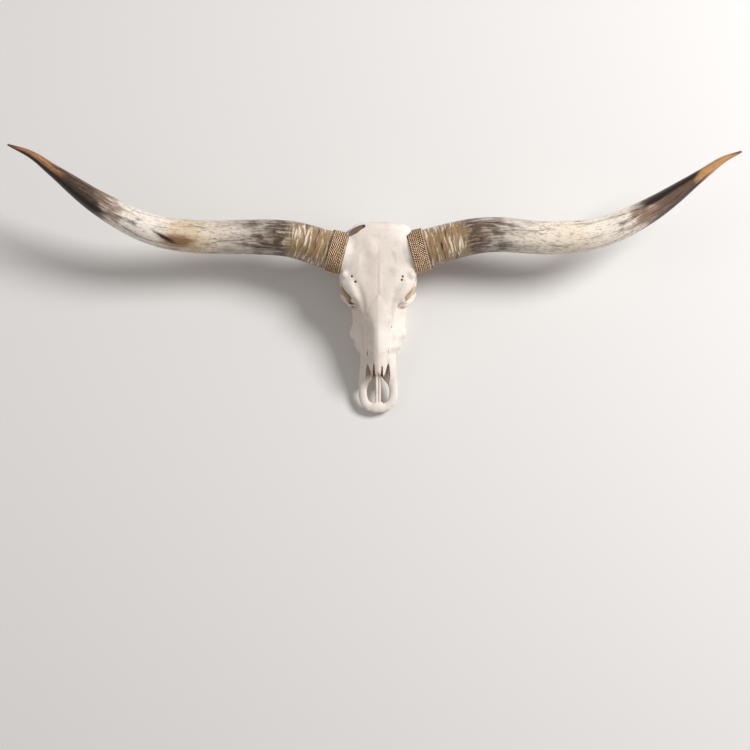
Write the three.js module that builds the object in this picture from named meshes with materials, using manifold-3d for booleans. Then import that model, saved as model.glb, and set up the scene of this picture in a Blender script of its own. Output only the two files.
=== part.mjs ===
// Longhorn skull with its two horns, each bound with cord at the root, lying face up on its teeth.
// Millimetres. The bones are laid out in the skull's own frame: +X to the animal's left, +Y from the
// muzzle to the poll, +Z out of the forehead, with the origin at the poll on the level of the forehead.
// The whole skull is then tipped on to the plane that its cheek teeth and its occiput stand on.
import * as THREE from "three";
import { mergeVertices } from "three/addons/utils/BufferGeometryUtils.js";
import Module from "manifold-3d";

const wasm = await Module();
wasm.setup();

// Driving dimensions
const SKULL_LENGTH = 513;
const GAP = 0.3; // between neighbouring bones, and between cord and horn
const REST_TILT = THREE.MathUtils.degToRad(10); // forehead to floor, nose down
const STANCE = { y: -45, z: -196 }; // a point of the floor, under the occiput
const LEFT = 1;
const RIGHT = -1;
const UP = [0, 0, 1];
const ALONG = [0, 1, 0];

// Forehead: the frontal bones as one broad plate, from the poll to the root of the nose. The corner of
// the poll is worn further down on the right.
const FOREHEAD = {
  from: 1,
  brink: -32, // where the rounded edge of the poll runs into the flat of the forehead
  to: -262,
  poll: {
    [LEFT]: [[1, 32], [-4, 66], [-10, 79], [-20, 88], [-32, 90]],
    [RIGHT]: [[1, 34], [-4, 54], [-15, 68], [-25, 78], [-34, 85]],
  },
  halfWidth: [[-90, 90], [-130, 94], [-158, 97], [-180, 88], [-207, 61], [-262, 40]],
  top: [[1, -26], [-6, -14], [-16, -6], [-34, -2], [-100, 0], [-190, -3], [-262, -9]],
  crown: [[1, 8], [-30, 18], [-100, 20], [-160, 17], [-262, 14]],
  depth: [[1, 6], [-30, 26], [-100, 34], [-262, 24]],
  flatness: 2.7,
};
const BRAINCASE = { at: [0, -92, -86], radii: [59, 86, 62] };
const OCCIPUT = {
  from: -7,
  to: -72,
  halfWidth: [[-7, 64], [-22, 86], [-45, 92], [-72, 70]],
  top: [[-7, -30], [-22, -14], [-72, -14]],
  bottom: [[-7, -140], [-20, -154], [-72, -146]],
  lean: [[-7, -0.4], [-72, -0.4]],
  squareness: 2.6,
};
const CONDYLE = { at: [26, -22, -144], radii: [19, 22, 22] };
const FORAMEN_MAGNUM = { at: [0, -2, -126], radii: [17, 34, 16] };
const BULLA = { at: [44, -84, -152], radii: [12, 20, 24] };

// Eye socket
const ORBIT = { at: [104, -176, -58], radii: [50, 32, 33] };

// Muzzle: lacrimals, maxillae and the roots of the premaxillae as one block that narrows to the front
const MUZZLE = {
  from: -128,
  to: -440,
  halfWidth: [
    [-440, 49], [-400, 48.5], [-354, 49], [-345, 54], [-334, 62],
    [-318, 65], [-300, 71], [-225, 71], [-180, 56], [-128, 46],
  ],
  top: [[-440, -66], [-400, -48], [-340, -25], [-262, -13], [-128, -12]],
  bottom: [[-440, -101], [-362, -110], [-345, -120], [-285, -133], [-200, -138], [-180, -124], [-128, -116]],
  lean: [[-440, 0.1], [-360, 0.3], [-290, 0.5], [-180, 0.42], [-128, 0.2]],
  squareness: 3,
};
const TUBER = { at: [64, -293, -96], radii: [12.5, 24, 15] };
const FACIAL_CREST = { path: [[62, -300, -97], [65, -262, -93], [69, -218, -89]], radii: [8, 11] };
const NOSE_CAVITY = {
  from: -296,
  to: -452,
  halfWidth: [[-452, 33], [-410, 32], [-370, 27], [-296, 16]],
  top: [[-452, 10], [-376, 0], [-340, -30], [-296, -44]],
  bottom: [[-452, -92], [-400, -94], [-296, -84]],
  lean: [[-452, 0], [-296, 0]],
  squareness: 3,
};
const PALATE = {
  from: -168,
  to: -400,
  halfWidth: [[-400, 33], [-168, 33]],
  top: [[-400, -114], [-168, -114]],
  bottom: [[-400, -184], [-168, -184]],
  lean: [[-400, 0], [-168, 0]],
  squareness: 2.6,
};
const LEAN_FROM = 0.2; // how far past the middle of its height a wall begins to draw in
const FISSURE = { top: [9, -413], inner: 7.6, outer: 29, widest: [-446, -466], end: [17, -485] };

// Nasal bones: a thin arch of two plates, each with a forked tip
const NASAL = {
  root: -198,
  tip: -417,
  halfWidth: [[-417, 16], [-396, 22], [-375, 27], [-300, 28], [-255, 29], [-220, 16], [-198, 2]],
  crown: [[-417, -35], [-375, -24], [-320, -12], [-255, -4], [-198, -2]],
  drop: [[-417, 7], [-375, 22], [-300, 24], [-255, 17], [-198, 2]],
  thickness: 6,
  innerTip: -409,
  fork: { x: 11.5, y: -374, inward: 4.2, outward: 2.5 },
  split: { y: -395, width: 2.5 }, // the tips of the two bones stand a little apart
};

// Premaxillae: the flat bars and toothless plate at the end of the muzzle
const PREMAXILLA = {
  bar: [
    [38, -380, -72], [40, -430, -86], [41.5, -462, -91],
    [35, -486, -93], [19, -498, -93], [-6, -497, -93],
  ],
  halfWidth: [[0, 9], [0.4, 11], [0.75, 12.5], [1, 12.5]],
  halfHeight: [[0, 12], [0.4, 9], [1, 6]],
  process: [[4, -492, -92], [4, -440, -91], [4.4, -384, -90]],
  processRadii: [3.5, 5],
};

// Cheek bone, with the arch behind it and its upright to the brow
const ZYGOMA = {
  arch: [[94, -98, -124], [98.5, -130, -113], [98, -162, -101], [91, -190, -93], [73, -213, -88]],
  archHalfWidth: [[0, 5], [0.5, 6.5], [1, 8]],
  archHalfHeight: [[0, 9], [0.45, 11], [0.75, 14], [1, 16]],
  upright: [[97, -145, -104], [96, -141, -62]],
  uprightRadii: [6, 9],
};
const BROW_BAR = { path: [[90, -141, -18], [96, -141, -61.7]], radii: [8, 10] };
const LACRIMAL_RIM = { path: [[72, -208, -84], [58, -210, -52], [47, -202, -22]], radii: [17, 9] };
const TEMPORAL_ROOT = { path: [[48, -62, -122], [80, -74, -127], [93.8, -97.7, -124]], radii: [13, 13] };
const OCCIPUT_LEG = {
  path: [[60, -36, -116], [59, -46, -164], [56, -50, -206]],
  root: [11, 18],
  end: [5.5, 8],
};
const SKULL_BASE = { path: [[0, -28, -148], [0, -110, -148], [0, -200, -126]], radii: [22, 15] };
const PTERYGOID = { path: [[27, -184, -112], [25, -170, -166]], root: [3.2, 22], end: [3.2, 10] };

// Cheek teeth of one side, from the front: length along the row and breadth
const TEETH = [
  { length: 15, breadth: 14, lobes: 1 },
  { length: 18, breadth: 17, lobes: 1 },
  { length: 18, breadth: 19, lobes: 1 },
  { length: 25, breadth: 22, lobes: 2 },
  { length: 28, breadth: 23, lobes: 2 },
  { length: 29, breadth: 21, lobes: 2 },
];
const TOOTH_ROW = {
  front: -348,
  x: [[-348, 42], [-285, 54], [-212, 55]],
  sections: [{ z: -112, share: 0.8 }, { z: -140, share: 1 }, { z: -178, share: 0.9 }],
  squareness: 2.7,
  waist: { depth: 0.24, width: 0.25 },
};

// Planes that part the face from the braincase, and the premaxillae from the maxillae
const FACE_PARTING = { y: -262, z: -10, slope: 0.55 };
const MUZZLE_PARTING = { y: -388, z: -70, slope: -1.3 };

// Horns: centre line from the root to the tip, and the breadth along it
const HORN = {
  [LEFT]: [
    [89, -80, -50], [131, -68, -49], [253, -37, -45], [317, -32, -42], [477, -42, -30],
    [604, -27, -10], [728, 31, 15], [852, 116, 40], [913, 159, 52], [959, 179, 58],
  ],
  [RIGHT]: [
    [89, -84, -50], [138, -71, -49], [237, -43, -45], [350, -38, -40], [479, -39, -30],
    [606, -20, -10], [730, 40, 16], [854, 128, 41], [916, 173, 52], [978, 199, 60],
  ],
  breadth: [
    [0, 106], [0.15, 98], [0.33, 91], [0.46, 87], [0.59, 77],
    [0.7, 65], [0.78, 51], [0.86, 33], [0.945, 18], [1, 5],
  ],
};
const HORN_BOSS = [[-34, 0.8], [-12, 0.85], [-6, 0.97], [2, 0.97]]; // place along the horn, share of breadth
const CORD = { diameter: 5.5, turns: 8, start: 2, valley: 0.4 };

// Facets: sides of a section and steps along a path
const FINE = { sides: 24, steps: 16 };
const MEDIUM = { sides: 8, steps: 6 };
const COARSE = { sides: 12, steps: 7 };
const BAR = { sides: 10, steps: 10 };
const HORN_FACETS = { sides: 18, steps: 26 };
const BLOB_FACETS = { around: 14, down: 8 };
const TOOTH_SIDES = 12;

// A smooth curve through a few [place, value] pairs that never overshoots between them.
function profile(pairs) {
  const sorted = [...pairs].sort((a, b) => a[0] - b[0]);
  const slopes = sorted.slice(1).map((p, i) => (p[1] - sorted[i][1]) / (p[0] - sorted[i][0]));
  const tangent = sorted.map((_, i) => {
    const before = slopes[i - 1];
    const after = slopes[i];
    if (before === undefined || after === undefined) return before ?? after;
    return before * after <= 0 ? 0 : (2 * before * after) / (before + after);
  });
  return (place) => {
    if (place <= sorted[0][0]) return sorted[0][1];
    const k = sorted.findIndex((p) => p[0] >= place);
    if (k < 0) return sorted.at(-1)[1];
    const [x0, v0] = sorted[k - 1];
    const [x1, v1] = sorted[k];
    const h = x1 - x0;
    const t = (place - x0) / h;
    const start = v0 * (1 + 2 * t) + tangent[k - 1] * h * t;
    const end = v1 * (3 - 2 * t) - tangent[k] * h * (1 - t);
    return start * (1 - t) ** 2 + end * t ** 2;
  };
}

// A closed solid from points and triangles, turned to face outwards.
function solid(points, triangles) {
  const signed = (t) => points[t[0]].dot(new THREE.Vector3().crossVectors(points[t[1]], points[t[2]]));
  const volume = triangles.reduce((sum, t) => sum + signed(t), 0);
  const facing = volume < 0 ? triangles.map(([a, b, c]) => [a, c, b]) : triangles;
  const vertProperties = new Float32Array(points.flatMap((p) => [p.x, p.y, p.z]));
  const triVerts = new Uint32Array(facing.flat());
  return new wasm.Manifold(new wasm.Mesh({ numProp: 3, vertProperties, triVerts }));
}

// A three.js geometry as a closed solid.
function solidOf(geometry) {
  const bare = geometry.clone();
  bare.deleteAttribute("normal");
  bare.deleteAttribute("uv");
  const merged = mergeVertices(bare);
  const position = merged.getAttribute("position");
  const points = Array.from({ length: position.count }, (_, i) =>
    new THREE.Vector3().fromBufferAttribute(position, i));
  const index = merged.index.array;
  const triangles = Array.from({ length: index.length / 3 }, (_, i) => [...index.slice(3 * i, 3 * i + 3)]);
  return solid(points, triangles);
}

// The skin over a row of rings that all have the same number of points. The ends are closed by fans,
// or joined to each other where the row itself is a ring.
function skin(rings, closed = false) {
  const sides = rings[0].length;
  const points = rings.flat();
  const triangles = [];
  const rows = closed ? rings.length : rings.length - 1;
  for (let r = 0; r < rows; r++) {
    const next = (r + 1) % rings.length;
    for (let i = 0; i < sides; i++) {
      const j = (i + 1) % sides;
      triangles.push([r * sides + i, r * sides + j, next * sides + j]);
      triangles.push([r * sides + i, next * sides + j, next * sides + i]);
    }
  }
  if (!closed) {
    [0, rings.length - 1].forEach((r) => {
      const middle = new THREE.Vector3();
      rings[r].forEach((p) => middle.addScaledVector(p, 1 / sides));
      const m = points.push(middle) - 1;
      for (let i = 0; i < sides; i++) {
        const edge = [r * sides + i, r * sides + ((i + 1) % sides)];
        triangles.push(r === 0 ? [m, edge[1], edge[0]] : [m, edge[0], edge[1]]);
      }
    });
  }
  return solid(points, triangles);
}

const vector = (p, side = 1) => new THREE.Vector3(side * p[0], p[1], p[2]);
const span = (from, to, steps) =>
  Array.from({ length: steps + 1 }, (_, i) => from + ((to - from) * i) / steps);
const turn = (sides) => Array.from({ length: sides }, (_, i) => (2 * Math.PI * i) / sides);
const rounded = (value, power) => Math.sign(value) * Math.abs(value) ** (2 / power);

// An ellipsoid.
function blob({ at, radii }, side = 1) {
  const ball = new THREE.SphereGeometry(1, BLOB_FACETS.around, BLOB_FACETS.down);
  ball.rotateX(Math.PI / 2);
  ball.scale(...radii);
  ball.translate(side * at[0], at[1], at[2]);
  return solidOf(ball);
}

// An oval carried along a smooth path. `half` gives its half breadth and half height at each share of
// the way, and `up` is the direction of the half height.
function sweep(path, half, side = 1, up = UP, facets = MEDIUM) {
  const curve = new THREE.CatmullRomCurve3(path.map((p) => vector(p, side)));
  const upward = vector(up, side);
  const rings = span(0, 1, facets.steps).map((t) => {
    const centre = curve.getPointAt(t);
    const across = curve.getTangentAt(t).cross(upward).normalize();
    const rise = new THREE.Vector3().crossVectors(across, curve.getTangentAt(t)).normalize();
    const [a, b] = half(t);
    return turn(facets.sides).map((angle) =>
      centre.clone().addScaledVector(across, a * Math.cos(angle)).addScaledVector(rise, b * Math.sin(angle)));
  });
  return skin(rings);
}

// A body along the skull, from sections that `section` gives as [x, z] for a place y and an angle.
function loft(places, section, sides = FINE.sides) {
  const rings = places.map((y) =>
    turn(sides).map((angle) => {
      const [x, z] = section(y, angle);
      return new THREE.Vector3(x, y, z);
    }));
  return skin(rings);
}

// A loft of rounded boxes. Where `lean` is above nought the walls draw in above, where below they draw
// in below.
function block(shape, facets = FINE) {
  const halfWidth = profile(shape.halfWidth);
  const top = profile(shape.top);
  const bottom = profile(shape.bottom);
  const lean = profile(shape.lean);
  return loft(span(shape.from, shape.to, facets.steps), (y, angle) => {
    const rise = rounded(Math.sin(angle), shape.squareness);
    const drawn = Math.abs(lean(y)) * Math.max(0, Math.sign(lean(y)) * rise + LEAN_FROM);
    const x = halfWidth(y) * rounded(Math.cos(angle), shape.squareness) * (1 - drawn);
    return [x, (top(y) + bottom(y)) / 2 + (rise * (top(y) - bottom(y))) / 2];
  }, facets.sides);
}

// A pair of half sizes that runs evenly from one pair to another along a path.
const between = (root, end) => (t) => root.map((value, i) => value + (end[i] - value) * t);

// A slab that reaches far behind (+1) or in front (-1) of a parting plane, set back from it by half a gap.
function beyond(parting, way) {
  const reach = 2 * SKULL_LENGTH;
  const slab = new THREE.BoxGeometry(reach, reach, reach);
  slab.translate(0, way * (reach / 2 + GAP / 2), 0);
  slab.rotateX(Math.atan(parting.slope));
  slab.translate(0, parting.y, parting.z);
  return solidOf(slab);
}

// Everything on one side of the middle plane, set back from it by half a gap.
function sideSlab(side) {
  const reach = 4 * SKULL_LENGTH;
  const slab = new THREE.BoxGeometry(reach, reach, reach);
  slab.translate((side * (reach + GAP)) / 2, 0, 0);
  return solidOf(slab);
}

// Everything under the floor that the skull lies on.
function belowFloor() {
  const reach = 4 * SKULL_LENGTH;
  const slab = new THREE.BoxGeometry(reach, reach, reach);
  slab.translate(0, 0, -reach / 2);
  slab.rotateX(-REST_TILT);
  slab.translate(0, STANCE.y, STANCE.z);
  return solidOf(slab);
}

const joined = (pieces) => pieces.reduce((all, piece) => all.add(piece));
const bothSides = (make) => make(LEFT).add(make(RIGHT));
const largest = (body) => body.decompose().reduce((a, b) => (b.volume() > a.volume() ? b : a));

function foreheadPlate() {
  const halfWidth = {
    [LEFT]: profile([...FOREHEAD.poll[LEFT], ...FOREHEAD.halfWidth]),
    [RIGHT]: profile([...FOREHEAD.poll[RIGHT], ...FOREHEAD.halfWidth]),
  };
  const top = profile(FOREHEAD.top);
  const crown = profile(FOREHEAD.crown);
  const depth = profile(FOREHEAD.depth);
  const edge = span(FOREHEAD.from, FOREHEAD.brink, 5);
  const flat = span(FOREHEAD.brink, FOREHEAD.to, 13).slice(1);
  const places = [...edge, ...flat];
  return loft(places, (y, angle) => {
    const rise = rounded(Math.sin(angle), FOREHEAD.flatness);
    const z = top(y) - crown(y) + rise * (rise > 0 ? crown(y) : depth(y));
    const side = Math.cos(angle) < 0 ? RIGHT : LEFT;
    return [halfWidth[side](y) * rounded(Math.cos(angle), FOREHEAD.flatness), z];
  });
}

// A cut through the whole depth of the skull, with its outline given on the plane of the forehead.
function throughCut(outline) {
  const options = { depth: SKULL_LENGTH, bevelEnabled: false, curveSegments: 4 };
  const cut = new THREE.ExtrudeGeometry(outline, options);
  return solidOf(cut.translate(0, 0, -SKULL_LENGTH / 2));
}

// The opening in the floor of the nose between the outer bar and the middle one.
function palateFissure(side) {
  const { top, inner, outer, widest, end } = FISSURE;
  const outline = new THREE.Shape();
  outline.moveTo(side * top[0], top[1]);
  outline.quadraticCurveTo(side * outer, top[1], side * outer, widest[0]);
  outline.lineTo(side * outer, widest[1]);
  outline.quadraticCurveTo(side * outer, end[1], side * end[0], end[1]);
  outline.quadraticCurveTo(side * inner, end[1], side * inner, widest[1]);
  outline.lineTo(side * inner, top[1]);
  outline.closePath();
  return throughCut(outline);
}

// One plate of the nasal arch, or the room that is cut for it, which is wider by a gap and open above.
function nasalPlate(side, { grow = 0, lift = 0, inner = GAP / 2 } = {}) {
  const halfWidth = profile(NASAL.halfWidth);
  const crown = profile(NASAL.crown);
  const drop = profile(NASAL.drop);
  const shares = span(0, 1, 5);
  const places = span(NASAL.root, NASAL.tip, 16);
  const arch = (y, share, raise, end) => {
    const across = inner + share * (halfWidth(y) + grow - inner);
    const fall = drop(y) * (across / halfWidth(y)) ** 2;
    return new THREE.Vector3(side * across, y + end, crown(y) - fall + raise);
  };
  const rings = places.map((y, i) => {
    const end = i === 0 ? grow : i === places.length - 1 ? -grow : 0;
    return [
      ...shares.map((share) => arch(y, share, grow + lift, end)),
      ...[...shares].reverse().map((share) => arch(y, share, -NASAL.thickness - grow, end)),
    ];
  });
  return skin(rings);
}

// The wedges that fork the tip of one nasal bone, shorten its inner prong and part it from its twin.
function nasalFork(side) {
  const { fork, split, innerTip } = NASAL;
  const past = NASAL.tip - NASAL.thickness;
  const cuts = [
    [[fork.x, fork.y], [fork.x - fork.inward, past], [fork.x + fork.outward, past]],
    [[-split.width, innerTip], [fork.x, innerTip], [fork.x, past], [-split.width, past]],
    [[-split.width, split.y], [0, split.y], [split.width, past], [-split.width, past]],
  ];
  return joined(cuts.map((corners) =>
    throughCut(new THREE.Shape(corners.map(([x, y]) => new THREE.Vector2(side * x, y))))));
}

function nasalBone(side) {
  return largest(nasalPlate(side).subtract(nasalFork(side)));
}

function premaxillaBar(side) {
  const breadth = profile(PREMAXILLA.halfWidth);
  const height = profile(PREMAXILLA.halfHeight);
  const bar = sweep(PREMAXILLA.bar, (t) => [breadth(t), height(t)], side, UP, BAR);
  const process = sweep(PREMAXILLA.process, () => PREMAXILLA.processRadii, side);
  return bar.add(process);
}

// `grow` swells the bone, so that its neighbours can be cut clear of it.
function zygoma(side, grow = 0) {
  const breadth = profile(ZYGOMA.archHalfWidth);
  const height = profile(ZYGOMA.archHalfHeight);
  const arch = sweep(ZYGOMA.arch, (t) => [breadth(t) + grow, height(t) + grow], side);
  const upright = sweep(ZYGOMA.upright, () => ZYGOMA.uprightRadii.map((r) => r + grow), side, ALONG);
  return arch.add(upright);
}

// One row of cheek teeth. A molar has two lobes with a waist between them.
function toothRow(side) {
  const x = profile(TOOTH_ROW.x);
  const { sections, squareness, waist } = TOOTH_ROW;
  const teeth = [];
  let front = TOOTH_ROW.front;
  for (const { length, breadth, lobes } of TEETH) {
    const y = front + length / 2;
    const ring = ({ z, share }) => turn(TOOTH_SIDES).map((angle) => {
      const along = rounded(Math.sin(angle), squareness);
      const drawnIn = lobes === 2 ? 1 - waist.depth * Math.exp(-((along / waist.width) ** 2)) : 1;
      const across = rounded(Math.cos(angle), squareness) * drawnIn;
      const halfLength = ((length - GAP) * share) / 2;
      return new THREE.Vector3(side * (x(y) + (across * breadth * share) / 2), y + along * halfLength, z);
    });
    teeth.push(skin(sections.map(ring)));
    front += length;
  }
  return joined(teeth);
}

function hornCurve(side) {
  return new THREE.CatmullRomCurve3(HORN[side].map((p) => vector(p, side)), false, "centripetal");
}

// A ring round the horn's centre line, `along` millimetres from its root.
function hornRing(curve, along, radius, sides) {
  const share = along / curve.getLength();
  const centre = share < 0
    ? curve.getPointAt(0).addScaledVector(curve.getTangentAt(0), along)
    : curve.getPointAt(share);
  const tangent = curve.getTangentAt(Math.max(0, share));
  const across = tangent.clone().cross(new THREE.Vector3(0, 0, 1)).normalize();
  const rise = new THREE.Vector3().crossVectors(across, tangent);
  return turn(sides).map((angle) =>
    centre.clone()
      .addScaledVector(across, radius * Math.cos(angle))
      .addScaledVector(rise, radius * Math.sin(angle)));
}

function horn(side) {
  const curve = hornCurve(side);
  const breadth = profile(HORN.breadth);
  const length = curve.getLength();
  return skin(span(0, 1, HORN_FACETS.steps).map((share) =>
    hornRing(curve, share * (length - GAP) + GAP, breadth(share) / 2, HORN_FACETS.sides)));
}

// The bony root that the horn sits on, from inside the forehead to the horn's root.
function hornBoss(side) {
  const curve = hornCurve(side);
  const radius = HORN.breadth[0][1] / 2;
  return skin(HORN_BOSS.map(([along, share]) => hornRing(curve, along, radius * share, HORN_FACETS.sides)));
}

// The radius of the inside of the binding, which clears the flats of the horn.
function bindingRadius(along, length) {
  const clear = 1 / Math.cos(Math.PI / HORN_FACETS.sides);
  return (profile(HORN.breadth)(along / length) / 2) * clear + GAP;
}

// The binding: cord laid turn against turn round the root of the horn, as one ribbed sleeve.
function cordBinding(side) {
  const curve = hornCurve(side);
  const length = curve.getLength();
  const outer = span(0, CORD.turns, CORD.turns * 2).map((place) => {
    const ridge = CORD.valley + (1 - CORD.valley) * Math.abs(Math.sin(Math.PI * place));
    return { along: CORD.start + place * CORD.diameter, height: CORD.diameter * ridge };
  });
  const inner = [outer.at(-1), outer[CORD.turns], outer[0]].map(({ along }) => ({ along, height: 0 }));
  const rings = [...outer, ...inner].map(({ along, height }) =>
    hornRing(curve, along, bindingRadius(along, length) + height, HORN_FACETS.sides));
  return skin(rings, true);
}

// The room that a horn and its binding take, from the horn's root outwards.
function hornRoom(side) {
  const curve = hornCurve(side);
  const radius = bindingRadius(0, curve.getLength()) + CORD.diameter + GAP;
  const reach = CORD.start + CORD.turns * CORD.diameter + CORD.diameter;
  return skin([0, reach].map((along) => hornRing(curve, along, radius, HORN_FACETS.sides)));
}

// The solids
const floor = belowFloor();
const zygomaRoom = bothSides((side) => zygoma(side, GAP));
const nasalRoom = bothSides((side) => nasalPlate(side, { grow: GAP, lift: SKULL_LENGTH / 8, inner: -GAP }));
const hornRooms = bothSides((side) => hornRoom(side));
const behindFace = beyond(FACE_PARTING, LEFT);
const beforeFace = beyond(FACE_PARTING, RIGHT);
const behindMuzzle = beyond(MUZZLE_PARTING, LEFT);
const beforeMuzzle = beyond(MUZZLE_PARTING, RIGHT);

const head = joined([
  foreheadPlate(),
  block(MUZZLE),
  blob(BRAINCASE),
  block(OCCIPUT, COARSE),
  sweep(SKULL_BASE.path, () => SKULL_BASE.radii),
  bothSides((side) => sweep(BROW_BAR.path, () => BROW_BAR.radii, side, ALONG)),
  bothSides((side) => sweep(LACRIMAL_RIM.path, () => LACRIMAL_RIM.radii, side, ALONG)),
  bothSides((side) => sweep(FACIAL_CREST.path, () => FACIAL_CREST.radii, side)),
  bothSides((side) => blob(TUBER, side)),
])
  .subtract(bothSides((side) => blob(ORBIT, side)))
  .subtract(block(NOSE_CAVITY, COARSE))
  .subtract(block(PALATE, COARSE))
  .subtract(bothSides((side) => palateFissure(side)))
  .add(bothSides((side) => blob(CONDYLE, side)))
  .add(bothSides((side) => blob(BULLA, side)))
  .add(bothSides((side) => hornBoss(side)))
  .add(bothSides((side) => sweep(TEMPORAL_ROOT.path, () => TEMPORAL_ROOT.radii, side)))
  .add(bothSides((side) => sweep(OCCIPUT_LEG.path, between(OCCIPUT_LEG.root, OCCIPUT_LEG.end), side, ALONG)))
  .add(bothSides((side) => sweep(PTERYGOID.path, between(PTERYGOID.root, PTERYGOID.end), side, ALONG)))
  .subtract(blob(FORAMEN_MAGNUM))
  .add(bothSides((side) => premaxillaBar(side)))
  .add(bothSides((side) => toothRow(side)))
  .subtract(zygomaRoom)
  .subtract(nasalRoom)
  .subtract(hornRooms)
  .subtract(floor);

const face = head.intersect(beforeFace);
const bones = {
  cranium: largest(head.intersect(behindFace)),
};
for (const [name, side] of [["left", LEFT], ["right", RIGHT]]) {
  const half = face.intersect(sideSlab(side));
  bones[`maxilla_${name}`] = largest(half.intersect(behindMuzzle));
  bones[`premaxilla_${name}`] = largest(half.intersect(beforeMuzzle));
  bones[`nasal_${name}`] = nasalBone(side);
  bones[`zygomatic_${name}`] = zygoma(side);
}

// Finishes
const BONE = new THREE.MeshStandardMaterial({ color: 0xe9dfd2, roughness: 0.75, metalness: 0 });
const HORN_SHEATH = new THREE.MeshStandardMaterial({ color: 0xbfa88a, roughness: 0.4, metalness: 0 });
const SISAL = new THREE.MeshStandardMaterial({ color: 0xb99a70, roughness: 0.9, metalness: 0 });

function mesh(name, body, material) {
  const { vertProperties, triVerts, numProp, numVert } = body.getMesh();
  const position = new Float32Array(3 * numVert);
  for (let i = 0; i < numVert; i++) {
    position.set(vertProperties.subarray(i * numProp, i * numProp + 3), 3 * i);
  }
  const geometry = new THREE.BufferGeometry();
  geometry.setAttribute("position", new THREE.BufferAttribute(position, 3));
  geometry.setIndex(new THREE.BufferAttribute(triVerts, 1));
  geometry.computeVertexNormals();
  const made = new THREE.Mesh(geometry, material);
  made.name = name;
  return made;
}

const skull = new THREE.Group();
for (const [name, body] of Object.entries(bones)) {
  skull.add(mesh(name, body, BONE));
}
for (const [name, side] of [["left", LEFT], ["right", RIGHT]]) {
  skull.add(mesh(`horn_${name}`, horn(side), HORN_SHEATH));
  skull.add(mesh(`cord_binding_${name}`, cordBinding(side), SISAL));
}

// Tip the skull on to the floor and put the origin under the middle of its outline.
const part = new THREE.Group();
part.add(skull);
skull.rotation.x = REST_TILT;
part.updateMatrixWorld(true);
const box = new THREE.Box3().setFromObject(part, true);
const middle = box.getCenter(new THREE.Vector3());
skull.position.set(-middle.x, -middle.y, -box.min.z);

export default part;
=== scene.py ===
"""Looks of a longhorn skull with two long horns, each bound with cord at the root.

The bones are carved as distance fields, because they branch and melt into each other as no single grid
can. The horns, cords and teeth are grids worked out from profiles carried along paths. Sizes are in
millimetres in the skull's own frame (+X to the animal's left, +Y from the muzzle to the poll, +Z out of the
forehead, origin at the poll), and to_row() turns them into the shared frame in metres.
"""
import math

import bpy
import numpy as np
from mathutils import Matrix, Vector


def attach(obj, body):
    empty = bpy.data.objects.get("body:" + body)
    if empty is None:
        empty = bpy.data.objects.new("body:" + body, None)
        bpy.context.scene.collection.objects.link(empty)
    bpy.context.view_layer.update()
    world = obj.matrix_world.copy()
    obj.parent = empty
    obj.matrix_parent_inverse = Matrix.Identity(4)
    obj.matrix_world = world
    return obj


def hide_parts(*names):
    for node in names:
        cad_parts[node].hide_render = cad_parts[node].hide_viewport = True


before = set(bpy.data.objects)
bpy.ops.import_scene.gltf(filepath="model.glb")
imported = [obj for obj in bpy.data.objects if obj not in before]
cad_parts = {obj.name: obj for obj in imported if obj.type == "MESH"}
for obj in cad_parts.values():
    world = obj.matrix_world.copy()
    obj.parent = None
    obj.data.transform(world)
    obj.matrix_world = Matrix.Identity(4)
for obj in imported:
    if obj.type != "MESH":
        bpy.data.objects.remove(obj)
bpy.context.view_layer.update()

bl_info = {
    "name": "Longhorn skull",
    "version": (1, 0, 0),
    "blender": (4, 5, 0),
    "location": "3D View > Sidebar > Skull",
    "description": "Carves a longhorn skull, its horns and the cord at their roots",
    "category": "Object",
}

LEFT, RIGHT = 1, -1
SIDES = {"left": LEFT, "right": RIGHT}
MM = 0.001
FAR = 40.0

# How finely paths and grids are divided: pieces between two points of a path, points on a horn's line for its
# axis and for the cord, (rings, sides) of a horn and of a tooth, sides of a strand and its length of step
PATH_PIECES = 24
AXIS_LINE, CORD_LINE = 200, 1200
HORN_GRID, TOOTH_GRID = (460, 80), (12, 40)
STRAND_SIDES, CORD_STEP = 8, 1.4

# Where the skull lies in the shared frame: tipped on to its teeth and occiput
REST_TILT = math.radians(10)
STANCE = {"y": -45.0, "z": -196.0}
POLL_AT = np.array([9.486, 149.679, 200.837])

# Cranium
FOREHEAD = {
    "from": 1, "to": -300,
    "poll": {
        LEFT: [(1, 32), (-4, 66), (-10, 79), (-20, 88), (-32, 90)],
        RIGHT: [(1, 34), (-4, 54), (-15, 68), (-25, 78), (-34, 85)],
    },
    "half_width": [(-90, 90), (-130, 94), (-158, 97), (-180, 88), (-207, 61), (-262, 38), (-300, 22)],
    "top": [(1, -26), (-6, -14), (-16, -6), (-34, -2), (-100, 0), (-190, -3), (-262, -11), (-300, -32)],
    "crown": [(1, 8), (-30, 21), (-100, 25), (-160, 22), (-300, 14)],
    "depth": [(1, 6), (-30, 26), (-100, 34), (-300, 24)],
    "power": 2.05,
}
BRAINCASE = {"at": (0, -92, -86), "radii": (59, 86, 62)}
OCCIPUT = {
    "from": -7, "to": -72,
    "half_width": [(-7, 64), (-22, 86), (-45, 92), (-72, 70)],
    "top": [(-7, -30), (-22, -14), (-72, -14)],
    "bottom": [(-7, -140), (-20, -154), (-72, -146)],
    "lean": [(-7, -0.4), (-72, -0.4)],
    "power": 2.6,
}
CONDYLE = {"at": (26, -22, -144), "radii": (19, 22, 22)}
FORAMEN_MAGNUM = {"at": (0, -2, -126), "radii": (17, 34, 16)}
BULLA = {"at": (44, -84, -152), "radii": (12, 20, 24)}
ORBIT = {"at": (104, -176, -58), "radii": (50, 32, 33)}
# Painted shade deep in each eye socket: the sizes of its band from the outer end to the inner
SOCKET_SHADE = {LEFT: [(0, 7), (0.4, 4), (1, 2)], RIGHT: [(0, 6), (0.5, 6), (1, 4)]}
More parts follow.
